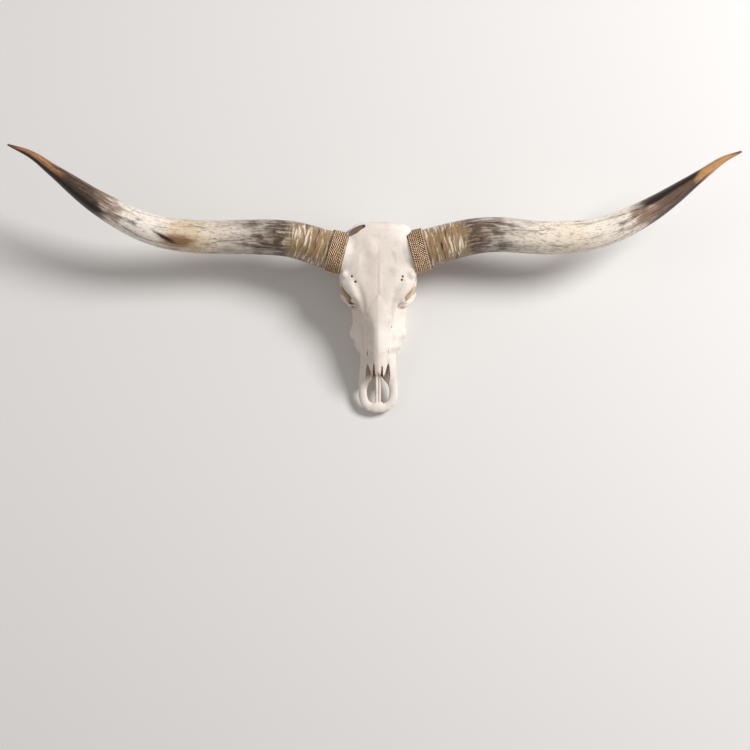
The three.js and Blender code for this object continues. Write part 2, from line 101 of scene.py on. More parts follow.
SOCKET_SLIT = {LEFT: [(0, 9), (0.5, 6), (1, 4)], RIGHT: [(0, 9), (0.5, 8.5), (1, 6)]}

# Face
MUZZLE = {
    "from": -128, "to": -440,
    "half_width": [
        (-440, 49), (-400, 48.5), (-354, 49), (-345, 54), (-334, 62),
        (-318, 65), (-300, 71), (-225, 71), (-180, 56), (-128, 46),
    ],
    "top": [(-440, -80), (-400, -52), (-340, -25), (-262, -13), (-128, -12)],
    "bottom": [(-440, -101), (-362, -110), (-345, -120), (-285, -133), (-200, -138), (-180, -124),
               (-128, -116)],
    "lean": [(-440, 0.1), (-360, 0.3), (-290, 0.5), (-180, 0.42), (-128, 0.2)],
    "power": 3.0,
}
LEAN_FROM = 0.2
MIDDLE_STRIP = 9.0
NOSE_CAVITY = {
    "from": -296, "to": -452,
    "half_width": [(-452, 33), (-410, 32), (-370, 27), (-296, 16)],
    "top": [(-452, 10), (-376, 0), (-340, -30), (-296, -44)],
    "bottom": [(-452, -92), (-400, -94), (-296, -84)],
    "lean": [(-452, 0), (-296, 0)],
    "power": 3.0,
}
PALATE = {
    "from": -168, "to": -400,
    "half_width": [(-400, 33), (-168, 33)],
    "top": [(-400, -114), (-168, -114)],
    "bottom": [(-400, -184), (-168, -184)],
    "lean": [(-400, 0), (-168, 0)],
    "power": 2.6,
}
TUBER = {"at": (64, -293, -96), "radii": (12.5, 20, 15)}
FISSURE = {
    "inner": [(-485, 14), (-472, 9), (-460, 7.4), (-412, 7.4)],
    "outer": [(-486, 14), (-478, 25), (-466, 29), (-446, 29), (-437, 27), (-425, 18), (-412, 7.4)],
    "low": (-30, -488, -140), "high": (30, -410, 10),
}
NASAL = {
    "root": -198, "tip": -417,
    "half_width": [(-417, 15), (-396, 22), (-375, 27), (-300, 28), (-255, 29), (-220, 16), (-198, 1.5)],
    "crown": [(-417, -35), (-375, -24), (-320, -12), (-255, -4), (-198, -2)],
    "drop": [(-417, 7), (-375, 22), (-300, 24), (-255, 12), (-230, 4), (-198, 0.3)],
    "thick": [(-417, 2.6), (-390, 3.6), (-340, 6), (-198, 6)],
    "fork": {"x": 11.5, "y": -374, "inward": 4.2, "outward": 2.5},
    "inner_tip": -409, "split": -395, "split_slope": 0.12,
}
FACE_PARTING = {"y": -262, "z": -10, "slope": 0.55}
MUZZLE_PARTING = {"y": -388, "z": -70, "slope": -1.3}
HALF_GAP = 0.05
SHARP_EDGE = math.radians(48)
# How far the brown of staining and of painted shade reaches from its shape
STAIN_AND_SHADE_REACH = 2.5

TEETH = [(15, 14, 1), (18, 17, 1), (18, 19, 1), (25, 22, 2), (28, 23, 2), (29, 21, 2)]
TOOTH_ROW = {"front": -348, "x": [(-348, 42), (-285, 54), (-212, 55)], "root": -112}

HORN_LINE = {
    LEFT: [
        (89, -80, -50), (131, -68, -49), (253, -37, -45), (317, -32, -42), (477, -42, -30),
        (604, -27, -10), (728, 31, 15), (852, 116, 40), (913, 159, 52), (959, 179, 58),
    ],
    RIGHT: [
        (89, -84, -50), (138, -71, -49), (237, -43, -45), (350, -38, -40), (479, -39, -30),
        (606, -20, -10), (730, 40, 16), (854, 128, 41), (916, 173, 52), (978, 199, 60),
    ],
}
BOSS = {"radius": 51.5, "draw": 9, "taper": 20, "out": 2, "in": 36}
HORN_BREADTH = [
    (0, 106), (0.15, 98), (0.33, 91), (0.46, 87), (0.59, 77),
    (0.7, 65), (0.78, 51), (0.86, 33), (0.945, 18), (1, 5),
]

# Where along each horn its dark edges begin and end
DARK_FROM = 0.62
DARK_UNTIL = {LEFT: 0.9, RIGHT: 1.0}
# How strongly the sheath is mottled along its length
HORN_WEATHER = [(0.1, 0.3), (0.2, 0.8), (0.27, 1), (0.4, 0.85), (0.5, 0.4), (0.6, 0.3), (0.7, 0.7),
                (0.9, 0.4), (1, 0.2)]
HORN_STOPS = {
    LEFT: [
        (0.0, "#7d7062"), (0.1, "#8f7a5c"), (0.15, "#a8916c"), (0.18, "#4c3b2f"), (0.23, "#6a594c"),
        (0.28, "#c8beb4"), (0.35, "#ece0d0"), (0.46, "#f0e2cc"), (0.55, "#f9efe0"), (0.63, "#f4e8d9"),
        (0.68, "#9c806d"), (0.75, "#6d5445"), (0.84, "#54402f"), (0.9, "#c99760"), (0.98, "#b97f45"),
        (1.0, "#1c1510"),
    ],
    RIGHT: [
        (0.0, "#7d7062"), (0.1, "#8f7a5c"), (0.15, "#c9bda6"), (0.18, "#46352a"), (0.22, "#5f4e43"),
        (0.27, "#b8ada4"), (0.36, "#e0d3c2"), (0.43, "#d3bb9b"), (0.53, "#f3e9de"), (0.63, "#efe5da"),
        (0.69, "#8a6f5d"), (0.77, "#38271e"), (0.84, "#56392a"), (0.89, "#ad7a48"), (0.97, "#a06a38"),
        (1.0, "#17110d"),
    ],
}


def hex_colour(code):
    """An sRGB hex colour as linear red, green, blue and a full alpha."""
    srgb = np.array([int(code[i:i + 2], 16) for i in (1, 3, 5)]) / 255
    linear = np.where(srgb <= 0.04045, srgb / 12.92, ((srgb + 0.055) / 1.055) ** 2.4)
    return (*linear.tolist(), 1.0)


def to_row(points):
    """Skull frame to the shared frame: turned about X by the tilt, moved to the poll's place, in metres."""
    c, s = math.cos(REST_TILT), math.sin(REST_TILT)
    turn = np.array([[1, 0, 0], [0, c, -s], [0, s, c]])
    return (np.asarray(points, float) @ turn.T + POLL_AT) * MM


def floor_level(y):
    """Height of the floor in the skull frame: a plane through the stance, sloping by the tilt."""
    return STANCE["z"] - (y - STANCE["y"]) * math.tan(REST_TILT)


def profile(pairs):
    """A smooth curve through (place, value) pairs that never overshoots: cubic pieces whose slope at each
    place is the harmonic mean of the slopes on its two sides, or nought where those differ in sign."""
    places, values = np.array(sorted(pairs), float).T
    steps = np.diff(places)
    slopes = np.diff(values) / steps
    before, after = slopes[:-1], slopes[1:]
    same_way = before * after > 0
    total = np.where(same_way, before + after, 1)
    inner = np.where(same_way, 2 * before * after / total, 0)
    tangents = np.concatenate([slopes[:1], inner, slopes[-1:]])

    def value(place):
        place = np.clip(place, places[0], places[-1])
        k = np.clip(np.searchsorted(places, place) - 1, 0, len(steps) - 1)
        t = (place - places[k]) / steps[k]
        start = values[k] * (1 + 2 * t) + tangents[k] * steps[k] * t
        end = values[k + 1] * (3 - 2 * t) - tangents[k + 1] * steps[k] * (1 - t)
        return start * (1 - t) ** 2 + end * t ** 2

    return value


def smooth_path(points, count):
    """Evenly spaced points on a curve through the given ones: Hermite pieces whose knots lie as far apart as
    the square root of the chords, then spaced again by length."""
    p = np.array(points, float)
    p = np.vstack([2 * p[0] - p[1], p, 2 * p[-1] - p[-2]])
    knots = np.sqrt(np.linalg.norm(np.diff(p, axis=0), axis=1))[:, None]
    d0, d1, d2 = knots[:-2], knots[1:-1], knots[2:]
    start = ((p[1:-2] - p[:-3]) / d0 - (p[2:-1] - p[:-3]) / (d0 + d1) + (p[2:-1] - p[1:-2]) / d1) * d1
    end = ((p[2:-1] - p[1:-2]) / d1 - (p[3:] - p[1:-2]) / (d1 + d2) + (p[3:] - p[2:-1]) / d2) * d1
    t = np.linspace(0, 1, PATH_PIECES, endpoint=False)[None, :, None]
    a, b = p[1:-2, None], p[2:-1, None]
    m, n = start[:, None], end[:, None]
    curve = (2 * t ** 3 - 3 * t ** 2 + 1) * a + (t ** 3 - 2 * t ** 2 + t) * m
    curve = curve + (3 * t ** 2 - 2 * t ** 3) * b + (t ** 3 - t ** 2) * n
    dense = np.vstack([curve.reshape(-1, 3), p[-2]])
    length = np.concatenate([[0], np.cumsum(np.linalg.norm(np.diff(dense, axis=0), axis=1))])
    even = np.linspace(0, length[-1], count)
    return np.stack([np.interp(even, length, dense[:, k]) for k in range(3)], 1)


def smooth_least(a, b, blend):
    """The smaller of two distances, with the corner between them filled over the width `blend`."""
    h = np.clip(0.5 + 0.5 * (b - a) / blend, 0, 1)
    return b + (a - b) * h - blend * h * (1 - h)


class Clay:
    """A block of clay on an even grid. Each grid point holds its distance to the surface, in millimetres,
    below nought inside. Shapes are (low corner, high corner, distance function)."""

    def __init__(self, low, high, step):
        self.step = step
        self.axes = [np.arange(a, b + step, step, dtype=np.float32) for a, b in zip(low, high)]
        self.low = np.array([axis[0] for axis in self.axes], float)
        self.field = np.full([len(axis) for axis in self.axes], FAR, np.float32)

    def like(self):
        """An empty block on the same grid."""
        return Clay([axis[0] for axis in self.axes], [axis[-1] - self.step / 2 for axis in self.axes],
                    self.step)

    def near(self, low, high, margin):
        """The part of the grid round a box, and its coordinates as three thin arrays."""
        first = ((np.array(low) - margin - self.low) / self.step).astype(int).clip(0)
        last = ((np.array(high) + margin - self.low) / self.step).astype(int) + 2
        cut = tuple(slice(a, b) for a, b in zip(first, last))
        x, y, z = (axis[c] for axis, c in zip(self.axes, cut))
        return cut, x[:, None, None], y[None, :, None], z[None, None, :]

    def coordinates(self):
        """The whole grid's coordinates as three thin arrays."""
        x, y, z = self.axes
        return x[:, None, None], y[None, :, None], z[None, None, :]

    def add(self, shape, blend=1.0):
        """Joins a shape on, with a fillet of the width `blend`."""
        low, high, distance = shape
        cut, x, y, z = self.near(low, high, blend + 2 * self.step)
        self.field[cut] = smooth_least(self.field[cut], distance(x, y, z), blend)

    def take(self, shape, blend=1.0):
        """Cuts a shape out, with the edge rounded over the width `blend`."""
        low, high, distance = shape
        cut, x, y, z = self.near(low, high, blend + 2 * self.step)
        self.field[cut] = -smooth_least(-self.field[cut], distance(x, y, z), blend)

    def press(self, path, depth, width):
        """Presses a groove along a path, or raises a ridge where the depth is below nought: the distance
        grows by depth times exp(-(r / width)²), r from the path."""
        low, high, distance = rod(path, 0)
        cut, x, y, z = self.near(low, high, 2.5 * width)
        self.field[cut] += depth * np.exp(-(distance(x, y, z) / width) ** 2)

    def level(self, points, field=None):
        """The field at any points, weighed between the eight grid points round each."""
        field = self.field if field is None else field
        at = (points - self.low) / self.step
        at = np.clip(at, 0, np.array(field.shape) - 1.001)
        whole = at.astype(int)
        share = at - whole
        total = np.zeros(len(points))
        for corner in np.ndindex(2, 2, 2):
            weight = np.where(corner, share, 1 - share).prod(1)
            total += weight * field[tuple((whole + corner).T)]
        return total

    def slope(self, points, field=None):
        """How fast the field grows each way at any points, measured over one grid step on both sides."""
        steps = np.eye(3) * self.step
        change = [self.level(points + d, field) - self.level(points - d, field) for d in steps]
        return np.stack(change, 1) / (2 * self.step)

    def outward(self, points):
        """The direction away from the surface."""
        slope = self.slope(points)
        return slope / np.linalg.norm(slope, axis=1, keepdims=True).clip(1e-6)

    def settle(self, points, limit):
        """Moves net points on to the surface, on to the limit, or on to the edge where both meet, by Newton
        steps of least length: with two surfaces, the step solves both at once."""
        for _ in range(3):
            a, b = self.level(points), self.level(points, limit)
            ga, gb = self.slope(points), self.slope(points, limit)
            aa = (ga * ga).sum(1).clip(1e-3)
            bb = (gb * gb).sum(1).clip(1e-3)
            ab = (ga * gb).sum(1)
            spread = aa * bb - ab ** 2
            edge = (np.maximum(abs(a), abs(b)) < 1.2 * self.step) & (spread > 0.15 * aa * bb)
            over = np.where(spread > 1e-6, spread, 1)
            wa = np.where(edge, (b * ab - a * bb) / over, np.where(a >= b, -a / aa, 0))
            wb = np.where(edge, (a * ab - b * aa) / over, np.where(a < b, -b / bb, 0))
            move = wa[:, None] * ga + wb[:, None] * gb
            length = np.linalg.norm(move, axis=1, keepdims=True).clip(1e-9)
            points = points + move * np.minimum(1, self.step / length)
        return points


def mirrored(points, side):
    """Points of the left side, on the side asked for."""
    return [(side * x, y, z) for x, y, z in points]


def ball(at, radii, side=LEFT):
    """Ellipsoid: with k the length of (p - at) / radii and g that of (p - at) / radii², the distance is
    close to k (k - 1) / g."""
    at = np.array(at, float) * (side, 1, 1)
    radii = np.array(radii, float)

    def distance(x, y, z):
        parts = [(v - a) for v, a in zip((x, y, z), at)]
        k = np.sqrt(sum((p / r) ** 2 for p, r in zip(parts, radii)))
        g = np.sqrt(sum((p / r ** 2) ** 2 for p, r in zip(parts, radii)))
        return k * (k - 1) / np.maximum(g, 1e-4)

    return at - radii, at + radii, distance


def rod(path, radius, flat=(1, 1, 1), pieces=10):
    """A rod along a smooth path: the distance to the nearest of its straight pieces, less the radius there.
    `flat` squeezes space first, so that the section becomes an oval."""
    line = smooth_path(path, pieces + 1)
    along = np.linspace(0, 1, pieces + 1)
    radii = profile(radius)(along) if isinstance(radius, list) else np.full(pieces + 1, float(radius))
    squeezed = line * flat

    def distance(x, y, z):
        least = None
        for a, b, ra, rb in zip(squeezed[:-1], squeezed[1:], radii[:-1], radii[1:]):
            px, py, pz = (v * f - s for v, f, s in zip((x, y, z), flat, a))
            d = b - a
            t = np.clip((px * d[0] + py * d[1] + pz * d[2]) / d.dot(d), 0, 1)
            away = np.sqrt((px - t * d[0]) ** 2 + (py - t * d[1]) ** 2 + (pz - t * d[2]) ** 2)
            away = away - (ra + t * (rb - ra))
            least = away if least is None else np.minimum(least, away)
        return least

    reach = radii.max()
    return line.min(0) - reach, line.max(0) + reach, distance


def oval(x, z, half_x, half_z, power):
    """Distance to a rounded box: with s the sum of (x / half_x)^power and (z / half_z)^power and g its root,
    it is (g - 1) over the slope of g."""
    a, b = np.abs(x) / half_x, np.abs(z) / half_z
    s = np.maximum(a ** power + b ** power, 1e-6)
    slope = np.hypot(a ** (power - 1) / half_x, b ** (power - 1) / half_z) * s ** (1 / power - 1)
    return np.clip((s ** (1 / power) - 1) / np.maximum(slope, 1e-4), -FAR, FAR)


def body(shape, end_round=8):
    """A loft of rounded boxes along Y. Where the lean is above nought the walls draw in above, where below
    they draw in below."""
    half_width, top, bottom, lean = (profile(shape[k]) for k in ("half_width", "top", "bottom", "lean"))

    def distance(x, y, z):
        half = (top(y) - bottom(y)) / 2
        z = z - (top(y) + bottom(y)) / 2
        leaning = lean(y)
        drawn = np.abs(leaning) * np.maximum(0, np.sign(leaning) * np.clip(z / half, -1, 1) + LEAN_FROM)
        d = oval(x, z, half_width(y) * (1 - drawn), half, shape["power"])
        ends = np.maximum(y - shape["from"], shape["to"] - y)
        return -smooth_least(-d, -ends, end_round)

    wide = max(v for _, v in shape["half_width"])
    deep = min(v for _, v in shape["bottom"])
    high = max(v for _, v in shape["top"])
    return (-wide, shape["to"], deep), (wide, shape["from"], high), distance


def forehead():
    """The frontal plate: rounded boxes along Y whose upper half is as high as the crown and whose lower half
    is as deep as the depth, with its own outline on each side of the poll."""
    widths = {s: profile(FOREHEAD["poll"][s] + FOREHEAD["half_width"]) for s in (LEFT, RIGHT)}
    top, crown, depth = (profile(FOREHEAD[k]) for k in ("top", "crown", "depth"))

    def distance(x, y, z):
        z = z - top(y) + crown(y)
        half_z = np.where(z > 0, crown(y), depth(y))
        half_x = np.where(x > 0, widths[LEFT](y), widths[RIGHT](y))
        d = oval(x, z, half_x, half_z, FOREHEAD["power"])
        ends = np.maximum(y - FOREHEAD["from"], FOREHEAD["to"] - y)
        return -smooth_least(-d, -ends, 6)

    return (-100, FOREHEAD["to"], -60), (100, FOREHEAD["from"], 2), distance


def fissure(side):
    """The opening in the floor of the nose, right through: between an inner and an outer edge along Y."""
    inner, outer = profile(FISSURE["inner"]), profile(FISSURE["outer"])

    def distance(x, y, z):
        across = side * x
        d = np.maximum(across - outer(y), inner(y) - across)
        d = np.maximum(d, np.maximum(y - FISSURE["high"][1], FISSURE["low"][1] - y))
        return d + 0 * z

    return FISSURE["low"], FISSURE["high"], distance


def nasal_arch(x, y):
    """Height and steepness of the top of the nasal arch: the crown less drop times (x / half width)²."""
    wide, crown, drop = (profile(NASAL[k]) for k in ("half_width", "crown", "drop"))
    share = np.abs(x) / wide(y)
    return crown(y) - drop(y) * share ** 2, 2 * drop(y) * share / wide(y)


def nasal_plate(side):
    """One nasal bone: a curved plate under the arch, forked at the tip by wedges that widen to the front."""
    wide, thick = profile(NASAL["half_width"]), profile(NASAL["thick"])
    fork = NASAL["fork"]

    def distance(x, y, z):
        across = side * x
        height, steep = nasal_arch(across, y)
        cosine = 1 / np.sqrt(1 + steep ** 2)
        middle = height - thick(y) / 2 / cosine
        d = np.abs(z - middle) * cosine - thick(y) / 2
        edge = np.maximum(across - wide(y), HALF_GAP - across)
        ends = np.maximum(y - NASAL["root"], NASAL["tip"] - y)
        d = -smooth_least(-d, -np.maximum(edge, ends), 2.0)
        share = (fork["y"] - y) / (fork["y"] - NASAL["tip"])
        centre = fork["x"] - share * (fork["inward"] - fork["outward"]) / 2
        wedge = np.abs(across - centre) - share * (fork["inward"] + fork["outward"]) / 2
        inner_prong = np.maximum(across - centre, y - NASAL["inner_tip"])
        split = across - np.clip(NASAL["split"] - y, 0, FAR) * NASAL["split_slope"]
        for cut in (wedge, inner_prong, split):
            d = np.maximum(d, -cut)
        return d

    low = (min(0, 30 * side), NASAL["tip"], -64)
    high = (max(0, 30 * side), NASAL["root"], 0)
    return low, high, distance


def nasal_room():
    """All that lies above the underside of the nasal arch and between its edges."""
    wide, thick = profile(NASAL["half_width"]), profile(NASAL["thick"])

    def distance(x, y, z):
        height, steep = nasal_arch(x, y)
        cosine = 1 / np.sqrt(1 + steep ** 2)
        under = (height - thick(y) / cosine - z) * cosine
        d = np.maximum(under, np.abs(x) - wide(y))
        return np.maximum(d, np.maximum(y - NASAL["root"], NASAL["tip"] - y))

    return (-32, NASAL["tip"], -70), (32, NASAL["root"], 20), distance


def zygoma(clay, side):
    """The cheek bone: the arch, its upright to the brow and the plate under the eye socket."""
    arch = [(94, -98, -124), (98.5, -130, -113), (98, -162, -101), (91, -190, -93), (73, -213, -88)]
    upright = [(96.5, -147, -104), (97, -143, -84), (95.5, -141, -62)]
    clay.add(rod(mirrored(arch, side), [(0, 9), (0.45, 11), (0.75, 14), (1, 15)], flat=(1.75, 1, 1)), 1)
    clay.add(rod(mirrored(upright, side), [(0, 11), (1, 8)], flat=(1.5, 1, 1)), 9)


def horn_axis(side):
    """Root and direction of a horn, for the bony boss and the seat under the cord."""
    line = smooth_path(mirrored(HORN_LINE[side], side), AXIS_LINE)
    return line[0], (line[1] - line[0]) / np.linalg.norm(line[1] - line[0])


def horn_boss(side):
    """The bony root of a horn: a drum round the horn's axis, narrower inside the forehead."""
    root, axis = horn_axis(side)

    def distance(x, y, z):
        p = [v - r for v, r in zip((x, y, z), root)]
        along = sum(c * a for c, a in zip(p, axis))
        away = np.sqrt(np.maximum(sum(c ** 2 for c in p) - along ** 2, 0))
        radius = BOSS["radius"] - BOSS["draw"] * np.clip(-along / BOSS["taper"], 0, 1)
        return np.maximum(away - radius, np.maximum(along - BOSS["out"], -BOSS["in"] - along))

    return root - 60, root + 60, distance


def horn_seat(side, radius):
    """The room that the horn and its cord take, from the root outwards."""
    root, axis = horn_axis(side)

    def distance(x, y, z):
        p = [v - r for v, r in zip((x, y, z), root)]
        along = sum(c * a for c, a in zip(p, axis))
        away = np.sqrt(np.maximum(sum(c ** 2 for c in p) - along ** 2, 0))
        return np.maximum(away - radius, -along)

    return root - radius - 8, root + radius + 8, distance


def parting(plane, x, y, z):
    """Distance behind a parting plane that tips with its slope, with the fine saw-tooth of a suture."""
    angle = math.atan(plane["slope"])
    saw = 0.9 * np.sin(x / 3.1) + 0.7 * np.sin(x / 1.3 + z / 4) + 0.8 * np.sin(z / 3.7)
    return (y - plane["y"]) * math.cos(angle) + (z - plane["z"]) * math.sin(angle) + saw


def unevenness(x, y, z):
    """Slow swells of the bone: products of sines at three sizes, in millimetres."""
    wide = np.sin(x / 23 + y / 41) * np.sin(y / 29 - z / 37) * np.cos(z / 21 + x / 33)
    fine = np.sin(x / 7.3 - y / 11.9 + 2) * np.sin(y / 8.7 + z / 9.1) * np.sin(z / 6.1 + x / 12.7 + 1)
    return 0.55 * wide + 0.22 * fine


def side_walls(cavity):
    """A cavity without the strip along its middle, where the bars of the palate lie."""
    low, high, distance = cavity
    return low, high, lambda x, y, z: np.maximum(distance(x, y, z), MIDDLE_STRIP - np.abs(x))


def foramina():
    """Holes for nerves and vessels, as short rods into the bone: path, radius."""
    holes = [
        ([(-72, -142, 2), (-69, -147, -14)], 1.9),
        ([(-62, -159, 2), (-60, -161, -14)], 2.2),
        ([(67, -145, 2), (66, -147, -12)], 2.1),
        ([(65, -154, 2), (64, -156, -12)], 2.3),
        ([(41, -258, -14), (39, -258, -28)], 0.8),
        ([(38, -282, -24), (36, -281, -38)], 0.8),
    ]
    for side in (LEFT, RIGHT):
        holes.append((mirrored([(66, -330, -106), (44, -318, -104)], side), 5.5))
        holes.append((mirrored([(36, -70, -176), (34, -70, -140)], side), 4.0))
        holes.append((mirrored([(30, -112, -170), (30, -112, -140)], side), 4.5))
    return holes


# Sutures that show as fine tan lines over the face: path, how dark
SUTURES = [
    ([(-68, -218, -58), (-56, -230, -40), (-42, -243, -24), (-31, -258, -18)], 0.2),
    ([(66, -220, -58), (54, -232, -38), (42, -245, -24), (31, -258, -18)], 0.2),
    ([(0, -60, 0), (0, -112, 0), (-1, -160, -1), (0, -198, -3)], 0.07),
]


def carve_head(step):
    """The skull without its cheek bones, as one block of clay, and lists of the openings and of the sutures
    that brown what is near them; the eye sockets, the bands deep in them and the recess behind the poll are
    browned as painted shade."""
    head = Clay((-112, -516, -212), (112, 8, 8), step)
    head.add(forehead(), 0.5)
    head.add(body(MUZZLE), 12)
    head.add(ball(**BRAINCASE), 16)
    head.add(body(OCCIPUT, 12), 12)
    head.add(rod([(0, -28, -148), (0, -110, -148), (0, -200, -126)], 16, flat=(0.75, 1, 1)), 8)
    cavity, palate = body(NOSE_CAVITY, 4), body(PALATE, 6)
    stained, lines = [(side_walls(cavity), 0.62), (palate, 0.2)], []
    for side in (LEFT, RIGHT):
        brow = [(90, -141, -18), (96, -141, -61)]
        rim = [(72, -208, -84), (60, -210, -52), (50, -202, -22)]
        crest = [(62, -300, -97), (65, -262, -93), (69, -218, -89)]
        floor = [(60, -196, -100), (88, -190, -96)]
        head.add(rod(mirrored(brow, side), 9), 9)
        head.add(rod(mirrored(rim, side), 10, flat=(0.62, 1, 1)), 10)
        head.add(rod(mirrored(crest, side), 9, flat=(1.1, 1, 0.85)), 9)
        head.add(rod(mirrored(floor, side), 15, flat=(1, 1, 1.5)), 8)
        head.add(ball(TUBER["at"], TUBER["radii"], side), 8)
        orbit = ball(ORBIT["at"], ORBIT["radii"], side)
        head.take(orbit, 6)
        # Painted shade: the eye socket is browned for the shade inside it
        stained.append((orbit, 0.5))
        ridge = [(94, -146, -28), (88, -166, -25), (75, -186, -24), (60, -199, -23)]
        lower_rim = [(58, -219, -56), (74, -220, -74), (89, -208, -86), (97, -190, -95)]
        slit = [(106, -170, -62), (92, -187, -62), (74, -204, -62), (65, -212, -62)]
        head.add(rod(mirrored(ridge, side), [(0, 5), (0.5, 6), (1, 5)]), 9)
        head.add(rod(mirrored(lower_rim, side), [(0, 6), (0.5, 6), (1, 5)]), 7)
        socket = rod(mirrored(slit, side), SOCKET_SLIT[side], flat=(1, 1, 0.25))
        head.take(socket, 4)
        # Painted shade: the slit under the brow is browned for the shade inside it
        stained.append((socket, 0.6))
        # A band of painted shade deep in each eye socket
        depth = [(102, -177, -84), (90, -189, -84), (75, -204, -80), (67, -211, -78)]
        lines.append((rod(mirrored(depth, side), SOCKET_SHADE[side], flat=(1, 1, 0.2)), 0.5))
    head.take(cavity, 3)
    head.take(palate, 6)
    for side in (LEFT, RIGHT):
        root = [(48, -62, -122), (80, -74, -127), (93.6, -97.7, -124)]
        leg = [(60, -36, -116), (59, -46, -164), (56, -50, -210)]
        wing = [(27, -184, -112), (25, -170, -166)]
        bar = [(38, -380, -72), (40, -430, -86), (41.5, -462, -91), (35, -486, -93), (19, -498, -93),
               (-6, -497, -93)]
        head.add(ball(CONDYLE["at"], CONDYLE["radii"], side), 7)
        head.add(ball(BULLA["at"], BULLA["radii"], side), 6)
        head.add(horn_boss(side), 16)
        head.add(rod(mirrored(root, side), [(0, 15), (0.6, 13), (1, 10)]), 12)
        head.add(rod(mirrored(leg, side), [(0, 20), (0.5, 13), (1, 7.5)], flat=(1.5, 1, 1)), 9)
        head.add(rod(mirrored(wing, side), [(0, 22), (1, 10)], flat=(6, 1, 1)), 4)
        head.add(rod(mirrored(bar, side), [(0, 9), (0.4, 11), (0.75, 12.5), (1, 12.5)], flat=(1, 1, 1.5)),
                 10)
    for side in (LEFT, RIGHT):
        process = [(4, -496, -92), (4, -440, -91), (4.4, -384, -90)]
        head.take(fissure(side), 3)
        head.add(rod(mirrored(process, side), 3.6, flat=(1, 1, 0.6)), 2)
        head.add(nasal_plate(side), 3)
    magnum = ball(**FORAMEN_MAGNUM)
    recess = rod([(-74, -31, -15), (-57, -21, -12), (-41, -12, -13)], [(0, 6), (0.5, 8), (1, 7)])
    head.take(magnum, 4)
    head.take(recess, 3)
    # The recess behind the poll is browned as painted shade
    stained += [(magnum, 0.7), (recess, 0.9)]
    for path, radius in foramina():
        hole = rod(path, radius, pieces=2)
        head.take(hole, 1.5)
        stained.append((hole, 0.85))
    for path, weight in SUTURES:
        head.press(path, 0.5, 2.2)
        lines.append((rod(path, 0.4), weight))
    return head, stained, lines


def model_surface(head):
    """Grooves and swellings pressed into the bone, with its skin left slightly uneven."""
    head.press([(-68, -150, 0), (-56, -172, -2), (-45, -202, -6), (-38, -250, -16)], 4.2, 8.0)
    head.press([(63, -158, 0), (50, -182, -3), (40, -208, -6), (35, -250, -16)], 3.6, 8.0)
    head.press([(-72, -142, -1), (-60, -161, -1)], 2.0, 4.0)
    head.press([(46, -180, -3), (44, -190, -4)], 2.0, 4.0)
    head.press([(-57, -168, -2), (-54, -174, -3)], -2.0, 4.0)
    head.press([(-74, -170, -8), (-66, -192, -12)], -3.0, 13.0)
    head.press([(76, -166, -8), (68, -190, -12)], -2.6, 13.0)
    head.press([(6, -120, 1), (6, -190, -1)], -0.9, 5.0)
    head.press([(-20, -60, 0), (-18, -80, 0)], -2.6, 16)
    head.press([(62, -52, -6), (74, -90, -8)], -2.0, 18)
    head.press([(-24, -100, 0), (-32, -136, 0)], 2.2, 18)
    head.press([(26, -110, 0), (24, -140, 0)], 2.0, 18)
    head.press([(-60, -24, -8), (0, -16, -6), (66, -22, -8)], -1.2, 6)
    head.press([(-73, -228, -84), (-73, -262, -94)], 6.0, 20)
    head.press([(-37, -276, -42), (-35, -310, -44), (-34, -356, -52)], 5.5, 9)
    head.press([(37, -276, -42), (35, -310, -44), (34, -356, -52)], 3.0, 9)
    x, y, z = head.coordinates()
    head.field += unevenness(x, y, z)


def net(field, low, step):
    """Surface net: one point in each cell that the surface crosses, at the mean of the places where it cuts
    the cell's edges, and one square round each cut edge, facing outwards."""
    cells = np.array(field.shape) - 1
    inside = field < 0
    rings, cuts = [], []
    for axis in range(3):
        a = [slice(1, -1)] * 3
        b = [slice(1, -1)] * 3
        a[axis], b[axis] = slice(0, -1), slice(1, None)
        at = np.argwhere(inside[tuple(a)] != inside[tuple(b)]) + 1
        at[:, axis] -= 1
        step_on = np.eye(3, dtype=int)[axis]
        start, end = field[tuple(at.T)], field[tuple((at + step_on).T)]
        place = at + (start / (start - end))[:, None] * step_on
        u, v = (axis + 1) % 3, (axis + 2) % 3
        ring = []
        for du, dv in ((0, 0), (-1, 0), (-1, -1), (0, -1)):
            cell = at.copy()
            cell[:, u] += du
            cell[:, v] += dv
            ring.append(np.ravel_multi_index(cell.T, cells))
        ring = np.stack(ring, 1)
        ring[start > 0] = ring[start > 0][:, ::-1]
        rings.append(ring)
        cuts.append(np.repeat(place, 4, axis=0))
    rings, cuts = np.vstack(rings), np.vstack(cuts)
    used, corner = np.unique(rings.ravel(), return_inverse=True)
    count = np.bincount(corner)
    points = np.stack([np.bincount(corner, cuts[:, k]) / count for k in range(3)], 1)
    return low + points * step, corner.reshape(-1, 4)


def largest(points, faces):
    """Keeps the biggest of the separate bodies: each point takes the lowest label among its neighbours and
    then that label's own label, until nothing changes."""
    ends = np.vstack([faces[:, [k, (k + 1) % 4]] for k in range(4)])
    label = np.arange(len(points))
    while True:
        lower = label.copy()
        np.minimum.at(lower, ends[:, 0], label[ends[:, 1]])
        lower = lower[lower]
        if np.array_equal(lower, label):
            break
        label = lower
    kept = label == np.bincount(label).argmax()
    place = np.cumsum(kept) - 1
    return points[kept], place[faces[kept[faces[:, 0]]]]


def hollowness(whole, points):
    """How far the bone closes in over each point: one less the room found at four distances straight out, as
    a share of those distances, and their mean. It is painted shade: the bone is coloured browner the more
    closely it is closed in."""
    out = whole.outward(points)
    shares = [1 - np.clip(whole.level(points + out * d) / d, 0, 1) for d in (4, 9, 18, 30)]
    return np.mean(shares, axis=0)


